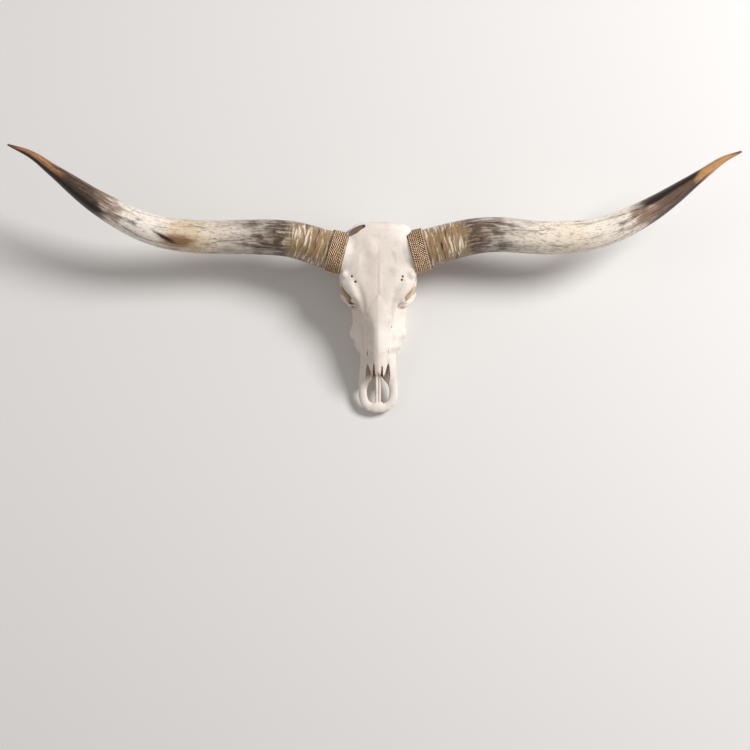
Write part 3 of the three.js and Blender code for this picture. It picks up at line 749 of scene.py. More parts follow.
def stain_of(stained, points, inside):
    """The darkest of the brown marks near each point, from staining and from painted shade: its weight times
    exp(-(d / reach)²), d from the shape's wall, or from its outside only where the inside is marked as well."""
    total = np.zeros(len(points))
    x, y, z = points.T
    for (low, high, distance), weight in stained:
        d = distance(x, y, z)
        d = np.maximum(d, 0) if inside else d
        box = np.all((points > np.array(low) - 6) & (points < np.array(high) + 6), axis=1)
        total = np.maximum(total, np.where(box, weight * np.exp(-(d / STAIN_AND_SHADE_REACH) ** 2), 0))
    return total


def make_piece(name, points, faces, material, marks=None, node=None):
    """A mesh from points in the skull frame, riding on the one body and standing for its CAD node."""
    mesh = bpy.data.meshes.new(name)
    mesh.from_pydata(to_row(points).tolist(), [], faces.tolist() if hasattr(faces, "tolist") else faces)
    mesh.polygons.foreach_set("use_smooth", np.ones(len(mesh.polygons), bool))
    for key, values in (marks or {}).items():
        kind = "FLOAT" if values.ndim == 1 else "FLOAT_VECTOR"
        layer = mesh.attributes.new(key, kind, "POINT")
        layer.data.foreach_set("value" if values.ndim == 1 else "vector", values.ravel().astype(np.float32))
    mesh.materials.append(material)
    mesh.validate()
    piece = bpy.data.objects.new(name, mesh)
    bpy.context.scene.collection.objects.link(piece)
    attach(piece, "root")
    if node:
        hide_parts(node)
    return piece


def node(tree, kind, links=None, stops=None, **settings):
    """Adds a shader node: its settings, the colours of its ramp, and its inputs as values or links."""
    made = tree.nodes.new(kind)
    for key, value in settings.items():
        setattr(made, key, value)
    if stops:
        ramp = made.color_ramp
        while len(ramp.elements) < len(stops):
            ramp.elements.new(1.0)
        for element, (place, colour) in zip(ramp.elements, stops):
            element.position = place
            element.color = colour
    for key, value in (links or {}).items():
        if isinstance(value, bpy.types.NodeSocket):
            tree.links.new(value, made.inputs[key])
        else:
            made.inputs[key].default_value = value
    return made


def new_material(name):
    """An empty material and its node tree."""
    material = bpy.data.materials.new(name)
    material.use_nodes = True
    tree = material.node_tree
    tree.nodes.clear()
    return material, tree


def bone_material(colours):
    """Dry cleaned bone: macerated and bleached, matt and chalky, with brown staining left in the pits, and
    painted shade that browns every hollow by how closely the bone closes in over it.
    """
    material, tree = new_material("dry_bone")
    place = node(tree, "ShaderNodeTexCoord").outputs["Object"]
    broad = node(tree, "ShaderNodeTexNoise", {"Vector": place, "Scale": 9.0, "Detail": 3.0})
    tone = node(tree, "ShaderNodeValToRGB", {0: broad.outputs[0]},
                stops=[(0.32, colours["bone_shade"]), (0.62, colours["bone"])])
    mottle = node(tree, "ShaderNodeTexNoise",
                  {"Vector": place, "Scale": 48.0, "Detail": 6.0, "Roughness": 0.62})
    patch = node(tree, "ShaderNodeMapRange", {0: mottle.outputs[0], 1: 0.52, 2: 0.74, 3: 0.0, 4: 0.5})
    mixed = node(tree, "ShaderNodeMix",
                 {0: patch.outputs[0], 6: tone.outputs[0], 7: colours["bone_mottle"]},
                 data_type="RGBA")
    # Brown staining and painted shade: the hollow attribute holds how closely the bone closes in over each
    # point, which is painted shade, together with the staining round openings and sutures; it mixes the bone
    # towards brown
    hollow = node(tree, "ShaderNodeAttribute", attribute_name="hollow").outputs["Fac"]
    darkened = node(tree, "ShaderNodeMapRange", {0: hollow, 1: 0.12, 2: 0.62, 3: 0.0, 4: 0.9})
    stain = node(tree, "ShaderNodeValToRGB", {0: hollow},
                 stops=[(0.1, colours["stain_light"]), (0.55, colours["stain"]),
                        (0.95, colours["stain_deep"])])
    colour = node(tree, "ShaderNodeMix", {0: darkened.outputs[0], 6: mixed.outputs[2], 7: stain.outputs[0]},
                  data_type="RGBA")
    pores = node(tree, "ShaderNodeTexNoise", {"Vector": place, "Scale": 420.0, "Detail": 2.0})
    swell = node(tree, "ShaderNodeTexNoise", {"Vector": place, "Scale": 110.0, "Detail": 4.0})
    rough = node(tree, "ShaderNodeMapRange", {0: swell.outputs[0], 1: 0.3, 2: 0.7, 3: 0.55, 4: 0.72})
    fine = node(tree, "ShaderNodeBump", {"Strength": 0.25, "Distance": 0.0008, "Height": pores.outputs[0]})
    bump = node(tree, "ShaderNodeBump",
                {"Strength": 0.25, "Distance": 0.0016, "Height": swell.outputs[0],
                 "Normal": fine.outputs[0]})
    shader = node(tree, "ShaderNodeBsdfPrincipled",
                  {"Base Color": colour.outputs[2], "Roughness": rough.outputs[0], "IOR": 1.5,
                   "Normal": bump.outputs[0]})
    node(tree, "ShaderNodeOutputMaterial", {"Surface": shader.outputs[0]})
    return material


def horn_material(name, stops, colours):
    """Horn sheath: layered keratin, scraped and oiled to a semi-gloss. Long streaks and short flecks follow
    its length, growth rings show gold and pale at the root, and the edges darken towards the tip."""
    material, tree = new_material(name)
    grain = node(tree, "ShaderNodeAttribute", attribute_name="grain").outputs["Vector"]
    share = node(tree, "ShaderNodeAttribute", attribute_name="share").outputs["Fac"]
    ring = node(tree, "ShaderNodeAttribute", attribute_name="ring").outputs["Fac"]
    rooted = node(tree, "ShaderNodeAttribute", attribute_name="rooted").outputs["Fac"]
    under = node(tree, "ShaderNodeAttribute", attribute_name="under").outputs["Fac"]
    # Streaks about 70 mm long and 9 mm wide, flecks about 12 mm long and 3 mm wide, clouds about 60 mm
    long = node(tree, "ShaderNodeMapping", {"Vector": grain, "Scale": (14.0, 110.0, 110.0)})
    streaks = node(tree, "ShaderNodeTexNoise",
                   {"Vector": long.outputs[0], "Scale": 1.0, "Detail": 6.0, "Roughness": 0.7,
                    "Distortion": 0.5})
    short = node(tree, "ShaderNodeMapping", {"Vector": grain, "Scale": (85.0, 320.0, 320.0)})
    flecks = node(tree, "ShaderNodeTexNoise",
                  {"Vector": short.outputs[0], "Scale": 1.0, "Detail": 3.0, "Roughness": 0.65})
    aside = node(tree, "ShaderNodeMapping",
                 {"Vector": grain, "Location": (3.0, 5.0, 7.0), "Scale": (10.0, 75.0, 75.0)})
    bands = node(tree, "ShaderNodeTexNoise",
                 {"Vector": aside.outputs[0], "Scale": 1.0, "Detail": 6.0, "Roughness": 0.66,
                  "Distortion": 0.8})
    cloud = node(tree, "ShaderNodeTexNoise", {"Vector": grain, "Scale": 16.0, "Detail": 4.0})
    drift = node(tree, "ShaderNodeMapRange", {0: cloud.outputs[0], 1: 0.25, 2: 0.75, 3: -0.06, 4: 0.06})
    moved = node(tree, "ShaderNodeMath", {0: drift.outputs[0], 1: share}, operation="ADD")
    wisp = node(tree, "ShaderNodeMapRange", {0: streaks.outputs[0], 1: 0.25, 2: 0.75, 3: -0.07, 4: 0.07})
    place = node(tree, "ShaderNodeMath", {0: wisp.outputs[0], 1: moved.outputs[0]}, operation="ADD")
    base = node(tree, "ShaderNodeValToRGB", {0: place.outputs[0]}, stops=stops)
    dark = node(tree, "ShaderNodeMapRange", {0: bands.outputs[0], 1: 0.53, 2: 0.68, 3: 0.0, 4: 0.8})
    darker = node(tree, "ShaderNodeMix",
                  {0: dark.outputs[0], 6: base.outputs[0], 7: colours["horn_streak"]}, data_type="RGBA")
    pale = node(tree, "ShaderNodeMapRange", {0: streaks.outputs[0], 1: 0.55, 2: 0.7, 3: 0.0, 4: 0.42})
    paler = node(tree, "ShaderNodeMix",
                 {0: pale.outputs[0], 6: darker.outputs[2], 7: colours["horn_pale"]}, data_type="RGBA")
    fleck = node(tree, "ShaderNodeMapRange", {0: flecks.outputs[0], 1: 0.55, 2: 0.67, 3: 0.0, 4: 0.65})
    flecked = node(tree, "ShaderNodeMix",
                   {0: fleck.outputs[0], 6: paler.outputs[2], 7: colours["horn_fleck"]}, data_type="RGBA")
    # Weathered patches about 22 mm long and 9 mm wide, ragged at their edges
    patchy = node(tree, "ShaderNodeMapping",
                  {"Vector": grain, "Location": (11.0, 3.0, 5.0), "Scale": (45.0, 110.0, 110.0)})
    blotch = node(tree, "ShaderNodeTexNoise",
                  {"Vector": patchy.outputs[0], "Scale": 1.0, "Detail": 9.0, "Roughness": 0.75,
                   "Distortion": 0.5})
    weather = node(tree, "ShaderNodeAttribute", attribute_name="weather").outputs["Fac"]
    patch = node(tree, "ShaderNodeMapRange", {0: blotch.outputs[0], 1: 0.52, 2: 0.63, 3: 0.0, 4: 0.7})
    darkened = node(tree, "ShaderNodeMath", {0: patch.outputs[0], 1: weather}, operation="MULTIPLY")
    mottled = node(tree, "ShaderNodeMix",
                   {0: darkened.outputs[0], 6: flecked.outputs[2], 7: colours["horn_weather"]},
                   data_type="RGBA")
    # Growth rings: bands about 6 mm apart that run three or four fingers round the horn
    crosswise = node(tree, "ShaderNodeMapping", {"Vector": grain, "Scale": (170.0, 18.0, 18.0)})
    growth = node(tree, "ShaderNodeTexNoise",
                  {"Vector": crosswise.outputs[0], "Scale": 1.0, "Detail": 6.0, "Roughness": 0.7,
                   "Distortion": 0.6})
    wave = node(tree, "ShaderNodeMapRange", {0: growth.outputs[0], 1: 0.25, 2: 0.75, 3: -0.55, 4: 0.55})
    swing = node(tree, "ShaderNodeMapRange", {0: cloud.outputs[0], 1: 0.3, 2: 0.7, 3: -0.22, 4: 0.22})
    ringing = node(tree, "ShaderNodeMath", {0: wave.outputs[0], 1: ring}, operation="ADD")
    ringed = node(tree, "ShaderNodeMath", {0: ringing.outputs[0], 1: swing.outputs[0]}, operation="ADD")
    grey, amber = colours["horn_grey"], colours["horn_gold"]
    gold = node(tree, "ShaderNodeValToRGB", {0: ringed.outputs[0]},
                stops=[(0.12, colours["horn_streak"]), (0.3, grey), (0.42, amber), (0.5, amber),
                       (0.57, grey),
                       (0.66, amber), (0.84, colours["horn_pale"])])
    rings = node(tree, "ShaderNodeMix", {0: rooted, 6: mottled.outputs[2], 7: gold.outputs[0]},
                 data_type="RGBA")
    scar = node(tree, "ShaderNodeAttribute", attribute_name="scar").outputs["Fac"]
    browned = node(tree, "ShaderNodeMath", {0: scar, 1: streaks.outputs[0]}, operation="MULTIPLY")
    brown = node(tree, "ShaderNodeMapRange", {0: browned.outputs[0], 1: 0.1, 2: 0.34, 3: 0.0, 4: 0.9})
    patched = node(tree, "ShaderNodeMix",
                   {0: brown.outputs[0], 6: rings.outputs[2], 7: colours["horn_scar"]}, data_type="RGBA")
    burn = node(tree, "ShaderNodeAttribute", attribute_name="burn").outputs["Fac"]
    burnt = node(tree, "ShaderNodeMath", {0: burn, 1: under}, operation="MAXIMUM")
    shade = node(tree, "ShaderNodeMath", {0: burnt.outputs[0], 1: bands.outputs[0]}, operation="MULTIPLY")
    edge = node(tree, "ShaderNodeMapRange", {0: shade.outputs[0], 1: 0.18, 2: 0.4, 3: 0.0, 4: 0.96})
    colour = node(tree, "ShaderNodeMix",
                  {0: edge.outputs[0], 6: patched.outputs[2], 7: colours["horn_streak"]}, data_type="RGBA")
    rough = node(tree, "ShaderNodeMapRange", {0: streaks.outputs[0], 1: 0.3, 2: 0.7, 3: 0.24, 4: 0.42})
    bump = node(tree, "ShaderNodeBump", {"Strength": 0.35, "Distance": 0.0012, "Height": flecks.outputs[0]})
    shader = node(tree, "ShaderNodeBsdfPrincipled",
                  {"Base Color": colour.outputs[2], "Roughness": rough.outputs[0], "IOR": 1.54,
                   "Normal": bump.outputs[0]})
    node(tree, "ShaderNodeOutputMaterial", {"Surface": shader.outputs[0]})
    return material


def cord_material(colours):
    """Sisal twine: spun plant fibre, dry and matt, straw to tan with darker fibres, with painted shade
    between the strands and along their sides and a painted highlight on their tops.
    """
    material, tree = new_material("sisal_twine")
    lay = node(tree, "ShaderNodeAttribute", attribute_name="lay").outputs["Vector"]
    fibres = node(tree, "ShaderNodeMapping", {"Vector": lay, "Scale": (220.0, 900.0, 900.0)})
    fibre = node(tree, "ShaderNodeTexNoise", {"Vector": fibres.outputs[0], "Scale": 1.0, "Detail": 3.0})
    # Painted shade and highlight: each point's height over the cord's middle picks near black low between the
    # strands, dark brown on their sides, the twine's colour above and pale at the very tops
    top = node(tree, "ShaderNodeAttribute", attribute_name="top").outputs["Fac"]
    frayed = node(tree, "ShaderNodeMapRange", {0: fibre.outputs[0], 1: 0.3, 2: 0.7, 3: -0.12, 4: 0.12})
    height = node(tree, "ShaderNodeMath", {0: frayed.outputs[0], 1: top}, operation="ADD")
    tone = node(tree, "ShaderNodeValToRGB", {0: height.outputs[0]},
                stops=[(0.74, colours["cord_gap"]), (0.83, colours["cord_dark"]), (0.9, colours["cord"]),
                       (1.0, colours["cord_light"])])
    bump = node(tree, "ShaderNodeBump", {"Strength": 0.5, "Distance": 0.0006, "Height": fibre.outputs[0]})
    shader = node(tree, "ShaderNodeBsdfPrincipled",
                  {"Base Color": tone.outputs[0], "Roughness": 0.9, "IOR": 1.5, "Normal": bump.outputs[0]})
    node(tree, "ShaderNodeOutputMaterial", {"Surface": shader.outputs[0]})
    return material


def enamel_material(colours):
    """Tooth enamel over dentine: ivory, smooth, with tartar browning towards the gum."""
    material, tree = new_material("tooth_enamel")
    rise = node(tree, "ShaderNodeAttribute", attribute_name="rise").outputs["Fac"]
    place = node(tree, "ShaderNodeTexCoord").outputs["Object"]
    spots = node(tree, "ShaderNodeTexNoise", {"Vector": place, "Scale": 150.0, "Detail": 4.0})
    mark = node(tree, "ShaderNodeMath", {0: spots.outputs[0], 1: 0.5, 2: rise}, operation="MULTIPLY_ADD")
    tone = node(tree, "ShaderNodeValToRGB", {0: mark.outputs[0]},
                stops=[(0.25, colours["stain"]), (0.6, colours["tooth"]), (1.0, colours["bone"])])
    shader = node(tree, "ShaderNodeBsdfPrincipled",
                  {"Base Color": tone.outputs[0], "Roughness": 0.35, "IOR": 1.6})
    node(tree, "ShaderNodeOutputMaterial", {"Surface": shader.outputs[0]})
    return material


def floor_material(colours):
    """Matt studio paper, laid flat."""
    material, tree = new_material("studio_paper")
    place = node(tree, "ShaderNodeTexCoord").outputs["Object"]
    tooth = node(tree, "ShaderNodeTexNoise", {"Vector": place, "Scale": 300.0})
    bump = node(tree, "ShaderNodeBump", {"Strength": 0.05, "Distance": 0.0005, "Height": tooth.outputs[0]})
    shader = node(tree, "ShaderNodeBsdfPrincipled",
                  {"Base Color": colours["floor"], "Roughness": 0.9, "Normal": bump.outputs[0]})
    node(tree, "ShaderNodeOutputMaterial", {"Surface": shader.outputs[0]})
    return material


def grid_faces(rows, sides, start=0):
    """Squares of a closed tube of rings, with a fan over each end, counted from the point `start`."""
    r, s = np.meshgrid(np.arange(rows - 1), np.arange(sides), indexing="ij")
    n = (s + 1) % sides
    quads = np.stack([r * sides + s, r * sides + n, (r + 1) * sides + n, (r + 1) * sides + s],
                     -1).reshape(-1, 4)
    k = np.arange(sides)
    first, last = rows * sides, rows * sides + 1
    low = np.stack([np.full(sides, first), (k + 1) % sides, k], 1)
    top = (rows - 1) * sides
    high = np.stack([np.full(sides, last), top + k, top + (k + 1) % sides], 1)
    return [face for part in (quads, low, high) for face in (part + start).tolist()]


def closed(rings):
    """Points of a row of rings, with the middle of the first and of the last ring after them."""
    return np.vstack([rings.reshape(-1, 3), rings[0].mean(0), rings[-1].mean(0)])


def horn_frame(side, count):
    """Points on a horn's centre line with the two directions across it, level and upward."""
    line = smooth_path(mirrored(HORN_LINE[side], side), count)
    ahead = np.gradient(line, axis=0)
    ahead /= np.linalg.norm(ahead, axis=1, keepdims=True)
    across = np.cross(ahead, (0, 0, 1))
    across /= np.linalg.norm(across, axis=1, keepdims=True)
    return line, ahead, across, np.cross(across, ahead)


def grow_horn(side, material, node_name):
    """A circle carried along the horn's line. Its radius is the breadth profile over two, with growth rings
    that fade from the root and slow dents along the length."""
    rows, sides = HORN_GRID
    line, _, across, rise = horn_frame(side, rows)
    share = np.linspace(0, 1, rows)[:, None]
    angle = np.linspace(0, -2 * math.pi, sides, endpoint=False)[None, :]
    along = share * np.linalg.norm(np.diff(line, axis=0), axis=1).sum()
    rooted = np.clip((0.175 - share) / 0.03, 0, 1) * np.clip((share - 0.035) / 0.02, 0, 1)
    wander = 5 * np.sin(angle + side) + 3 * np.sin(2 * angle + 1.3 * side)
    wander = wander + 1.5 * np.sin(5 * angle + along / 9)
    waves = np.sin((along + wander) / 1.25) * 0.35 + np.sin((along + 1.6 * wander) / 2.4 + 1) * 0.45
    waves = waves + 0.2 * np.sin((along - wander) / 5.1 + angle)
    dents = np.sin(along / 37 + 2 * angle) * np.sin(along / 61 - angle + side)
    radius = profile(HORN_BREADTH)(share) / 2
    fade = 2 * np.clip(0.5 - share, 0, 0.5)
    radius = radius + (0.25 + 0.75 * rooted) * waves * fade + 0.008 * radius * dents
    circle = across[:, None] * np.cos(angle)[..., None] + rise[:, None] * np.sin(angle)[..., None]
    points = closed(line[:, None] + circle * radius[..., None])
    flat = np.zeros((rows, sides))
    around = HORN_BREADTH[3][1] / 2
    grain = np.stack([along + flat, around * np.cos(angle) + flat, around * np.sin(angle) + flat], -1) * MM
    level = side * np.cos(angle)
    edges = np.maximum(0.1 - 1.6 * level, 2 * level - 0.9) if side == LEFT else 0.55 + level
    begins = np.clip((share - DARK_FROM) / 0.1, 0, 1)
    ends = np.clip((DARK_UNTIL[side] - share) / 0.05, 0, 1)
    under = np.clip(edges, 0, 1) * begins * ends
    weather = np.interp(share, *np.transpose(HORN_WEATHER)) + flat
    scar = np.exp(-((share - 0.47) / 0.05) ** 2 - ((level - 0.4) / 0.4) ** 2)
    burn = np.exp(-((share - 0.545 + 0.11 * level) / 0.022) ** 2 - ((level - 0.3) / 0.35) ** 2)
    scar = (scar, burn) if side == RIGHT else (flat, flat)
    marks = {"grain": np.vstack([grain.reshape(-1, 3), grain[0].mean(0), grain[-1].mean(0)])}
    layers = {"share": share + flat, "ring": 0.5 + 0.2 * waves, "rooted": rooted + flat, "under": under,
              "scar": scar[0], "burn": scar[1], "weather": weather}
    for key, values in layers.items():
        marks[key] = np.concatenate([values.ravel(), [values[0].mean(), values[-1].mean()]])
    return make_piece(f"{node_name}_sheath", points, grid_faces(rows, sides), material, marks,
                      node_name)


def bind_cord(side, sizes, material, node_name):
    """Three round strands twisted about a cord that winds round the horn's root: the cord's middle goes once
    round and one diameter along for each turn, and each strand circles it once for each pitch."""
    thick, turns, pitch = sizes.cord / MM, sizes.turns, sizes.pitch / MM
    line, ahead, across, rise = horn_frame(side, CORD_LINE)
    length = np.linalg.norm(np.diff(line, axis=0), axis=1).sum()
    round_length = math.pi * (HORN_BREADTH[0][1] + thick)
    count = int(turns * round_length / CORD_STEP)
    wind = np.linspace(0, turns, count)
    along = 0.7 + thick * (0.5 + wind * (turns - 1) / turns)
    place = along / length * (len(line) - 1)
    low = place.astype(int)
    part = (place - low)[:, None]
    middle = line[low] * (1 - part) + line[low + 1] * part
    ends = np.minimum(np.minimum(wind, turns - wind) / 0.06, 1)
    radius = profile(HORN_BREADTH)(along / length) / 2 + thick / 2 * (0.72 + 0.24 * ends)
    turn = 2 * math.pi * wind[:, None]
    out = across[low] * np.cos(turn) + rise[low] * np.sin(turn)
    cord = middle + out * radius[:, None]
    forward = np.gradient(cord, axis=0)
    run = np.concatenate([[0], np.cumsum(np.linalg.norm(np.diff(cord, axis=0), axis=1))])
    forward /= np.linalg.norm(forward, axis=1, keepdims=True)
    beside = np.cross(forward, out)
    strand = thick / 2 / (1 + 2 / math.sqrt(3)) * 0.97
    circle = np.linspace(0, 2 * math.pi, STRAND_SIDES, endpoint=False)[None, :, None]
    points, faces, lay, tops, first = [], [], [], [], 0
    for k in range(3):
        spin = (2 * math.pi * (k / 3 - run / pitch))[:, None]
        towards = out * np.cos(spin) + beside * np.sin(spin)
        aside = beside * np.cos(spin) - out * np.sin(spin)
        centre = cord + towards * strand * 2.3 / math.sqrt(3)
        around = towards[:, None] * np.cos(circle) + aside[:, None] * np.sin(circle)
        rings = centre[:, None] + strand * around
        points.append(closed(rings))
        # Height of each point over the cord's middle, for the painted shade between the strands and the
        # painted highlight on their tops
        top = ((rings - cord[:, None]) * out[:, None]).sum(-1) / thick + 0.5
        side_on = ((rings - cord[:, None]) * ahead[low][:, None]).sum(-1) / thick
        # The outer sides of the first and the last turn count as tops, so they take no painted shade
        last = np.clip((wind - turns + 1.1) / 0.1, 0, 1)[:, None]
        first_turn = np.clip((1.1 - wind) / 0.1, 0, 1)[:, None]
        top = np.maximum(top, 0.5 + np.maximum(side_on * last, -side_on * first_turn))
        tops.append(np.concatenate([top.ravel(), [0.9, 0.9]]))
        faces += grid_faces(count, STRAND_SIDES, first)
        first += len(points[-1])
        wrap = np.stack([run[:, None] + 0 * circle[..., 0],
                         np.cos(circle[..., 0]) + 0 * run[:, None] + 3 * k,
                         np.sin(circle[..., 0]) + 0 * run[:, None]], -1)
        lay.append(np.vstack([wrap.reshape(-1, 3), wrap[0].mean(0), wrap[-1].mean(0)]) * MM)
    marks = {"lay": np.vstack(lay), "top": np.concatenate(tops)}
    return make_piece(f"{node_name}_strands", np.vstack(points), faces, material, marks, node_name)


def set_teeth(side, material, name):
    """A row of cheek teeth: each a rounded box carried from the gum to the floor, waisted between its lobes,
    fluted on its sides and ground flat where it rests."""
    row = profile(TOOTH_ROW["x"])
    levels, sides = TOOTH_GRID
    angle = np.linspace(0, 2 * math.pi, sides, endpoint=False)[None, :]
    share = np.linspace(0, 1, levels)[:, None]
    points, faces, rises, first, front = [], [], [], 0, TOOTH_ROW["front"]
    for length, breadth, lobes in TEETH:
        y = front + length / 2
        front += length
        power = 2 / 2.8
        out = np.sign(np.cos(angle)) * np.abs(np.cos(angle)) ** power
        along = np.sign(np.sin(angle)) * np.abs(np.sin(angle)) ** power
        waist = 1 - 0.24 * np.exp(-((along / 0.25) ** 2)) if lobes == 2 else 1.0
        flute = 1 + 0.035 * np.cos(angle * (7 if lobes == 2 else 5))
        size = 0.86 + 0.14 * np.sin(math.pi * np.clip(share * 1.2, 0, 1) ** 0.7)
        px = side * (row(y) + out * waist * flute * breadth * size / 2)
        py = y + along * flute * (length - 0.6) * size / 2
        base = floor_level(py)
        pz = TOOTH_ROW["root"] + (base - TOOTH_ROW["root"]) * share
        rings = np.stack([px + 0 * share, py + 0 * share, pz], -1)
        points.append(closed(rings[::-1, ::side]))
        faces += grid_faces(levels, sides, first)
        first += len(points[-1])
        level = np.repeat(share[::-1].ravel(), sides)
        rises.append(np.concatenate([level, [1, 0]]))
    return make_piece(name, np.vstack(points), faces, material, {"rise": np.concatenate(rises)})


class SkullSizes(bpy.types.PropertyGroup):
    """Sizes that a user would change."""
    grain: bpy.props.FloatProperty(
        name="Carving step", description="Grid of the clay that the bones are carved from",
        default=0.0018, min=0.0012, max=0.004, subtype="DISTANCE", unit="LENGTH")
    seat: bpy.props.FloatProperty(
        name="Horn seat", description="Radius of the room left for horn and cord",
        default=0.06, min=0.055, max=0.07, subtype="DISTANCE", unit="LENGTH")
    cord: bpy.props.FloatProperty(
        name="Cord", description="Thickness of the cord",
        default=0.0058, min=0.003, max=0.009, subtype="DISTANCE", unit="LENGTH")
    turns: bpy.props.IntProperty(
        name="Turns", description="Turns of cord round each horn", default=8, min=3, max=14)
    pitch: bpy.props.FloatProperty(
        name="Twist", description="Length of one twist of the cord",
        default=0.0204, min=0.008, max=0.04, subtype="DISTANCE", unit="LENGTH")


def tint(name, description, code):
    """A colour that a user can change, given as sRGB hex and held as linear."""
    return bpy.props.FloatVectorProperty(
        name=name, description=description, default=hex_colour(code),
        subtype="COLOR", size=4, min=0.0, max=1.0)


class SkullColours(bpy.types.PropertyGroup):
    """Colours that a user would change."""
    bone: tint("Bone", "Clean bone", "#e8dfd7")
    bone_shade: tint("Bone, dull", "Duller patches", "#dccfc4")
    bone_mottle: tint("Mottle", "Grey-brown mottling", "#c4b1a3")
    # Browns of the bone's staining and of the painted shade in its hollows, from the pale edge to the
    # darkest; the middle one also browns the teeth at the gum
    stain_light: tint("Stain, edge", "Edge of a stain", "#d8c4a2")
    stain: tint("Stain", "Brown in hollows", "#a58152")
    stain_deep: tint("Stain, deep", "Dirt in pits", "#4e3722")
    tooth: tint("Tooth", "Enamel", "#d9c7a4")
    horn_streak: tint("Horn, dark", "Dark streaks", "#22160f")
    horn_pale: tint("Horn, pale", "Pale streaks", "#dcd5c8")
    horn_fleck: tint("Horn flecks", "Short flecks", "#5d4c3d")
    horn_weather: tint("Horn, worn", "Weathered patches", "#7f6d5d")
    horn_grey: tint("Horn, grey", "Weathered root", "#74685c")
    horn_scar: tint("Horn scar", "Browned patch", "#7a5630")
    horn_gold: tint("Horn, gold", "Growth rings", "#a38152")
    cord: tint("Cord", "Twine", "#dbae7c")
    # Painted highlight on the tops of the strands, painted shade on their sides and between them
    cord_light: tint("Cord, light", "Pale fibres", "#ffe9cc")
    cord_dark: tint("Cord, dark", "Sides of the strands", "#84552f")
    cord_gap: tint("Cord, gaps", "Between the strands", "#1e0f07")
    daylight: tint("Room light", "Light from all round", "#fffaf5")
    floor: tint("Floor", "Studio paper", "#dedcda")


class SKULL_OT_bones(bpy.types.Operator):
    """Carves the bones from one block of clay and parts them along their sutures"""
    bl_idname = "skull.carve_bones"
    bl_label = "Carve bones"

    def execute(self, context):
        sizes = context.scene.skull_sizes
        bone = bone_material(tints(context))
        head, stained, lines = carve_head(sizes.grain / MM)
        model_surface(head)
        x, y, z = head.coordinates()
        room = head.like()
        room.add(nasal_room())
        seats = head.like()
        for side in (LEFT, RIGHT):
            zygoma(seats, side)
            seats.add(horn_seat(side, sizes.seat / MM))
        whole = head.like()
        whole.field = head.field.copy()
        for side in (LEFT, RIGHT):
            zygoma(whole, side)
        apart = np.maximum(2 * HALF_GAP - np.minimum(seats.field, room.field), floor_level(y) - z)
        face = parting(FACE_PARTING, x, y, z)
        muzzle = parting(MUZZLE_PARTING, x, y, z)
        kept = {"cranium": np.maximum(apart, HALF_GAP - face)}
        for name, side in SIDES.items():
            half = HALF_GAP - side * x
            front = np.maximum(np.maximum(apart, face + HALF_GAP), half)
            kept[f"maxilla_{name}"] = np.maximum(front, HALF_GAP - muzzle)
            kept[f"premaxilla_{name}"] = np.maximum(front, muzzle + HALF_GAP)
            kept[f"nasal_{name}"] = np.maximum(room.field, half)
        for name, limit in kept.items():
            self.bone(head, whole, (stained, lines), limit, bone, name)
        for name, side in SIDES.items():
            cheek = Clay((min(60 * side, 112 * side), -236, -145), (max(60 * side, 112 * side), -82, -48),
                         1.4)
            zygoma(cheek, side)
            self.bone(cheek, whole, (stained, lines), np.full_like(cheek.field, -FAR), bone,
                      f"zygomatic_{name}")
        return {"FINISHED"}

    def bone(self, clay, whole, stains, limit, material, name):
        """One bone: the clay within its limit, as a closed net with the brown of each point, from staining
        and from painted shade.
        """
        field = np.maximum(clay.field, limit)
        used = np.argwhere(field < 0)
        low = np.maximum(used.min(0) - 2, 0)
        high = np.minimum(used.max(0) + 3, field.shape)
        block = field[tuple(slice(a, b) for a, b in zip(low, high))]
        block = np.pad(block, 1, constant_values=1.0)
        points, faces = net(block, clay.low + (low - 1) * clay.step, clay.step)
        points, faces = largest(points, faces)
        points = clay.settle(points, limit)
        # Painted shade: how closely the bone closes in over each point browns it in every hollow, and lets
        # the staining round the openings show only where the bone is closed in
        hollow = hollowness(whole, points)
        cavity_stain_and_shade = stain_of(stains[0], points, False) * np.clip(7 * hollow - 0.25, 0, 1)
        marked = stain_of(stains[1], points, True)
        hollow = np.clip(np.maximum(np.maximum(0.75 * hollow, cavity_stain_and_shade), marked), 0, 1)
        piece = make_piece(f"{name}_bone", points, faces, material, {"hollow": hollow}, name)
        piece.data.set_sharp_from_angle(angle=SHARP_EDGE)


class SKULL_OT_teeth(bpy.types.Operator):
    """Sets a row of cheek teeth in each maxilla"""
    bl_idname = "skull.set_teeth"
    bl_label = "Set teeth"

    def execute(self, context):
        enamel = enamel_material(tints(context))
        for name, side in SIDES.items():
            set_teeth(side, enamel, f"cheek_teeth_{name}")
        return {"FINISHED"}


class SKULL_OT_horns(bpy.types.Operator):
    """Grows the two horns"""
    bl_idname = "skull.grow_horns"
    bl_label = "Grow horns"

    def execute(self, context):
        for name, side in SIDES.items():
            stops = [(place, hex_colour(code)) for place, code in HORN_STOPS[side]]
            sheath = horn_material(f"horn_sheath_{name}", stops, tints(context))
            grow_horn(side, sheath, f"horn_{name}")
        return {"FINISHED"}


class SKULL_OT_cords(bpy.types.Operator):
    """Binds the root of each horn with twisted cord"""
    bl_idname = "skull.bind_cords"
    bl_label = "Bind cords"

    def execute(self, context):
        sizes = context.scene.skull_sizes
        twine = cord_material(tints(context))
        for name, side in SIDES.items():
            bind_cord(side, sizes, twine, f"cord_binding_{name}")
        return {"FINISHED"}


VIEW = {"aim": (-7.5, -409.8, 0), "away": 5000.0, "yaw": math.radians(0.5), "lens": 89.9, "sensor": 36.0}
LIGHTS = [
    ("key", (4300, 2300, 4000), 2300, 440.0),
    ("fill", (-2600, 300, 2600), 2600, 18.0),
]


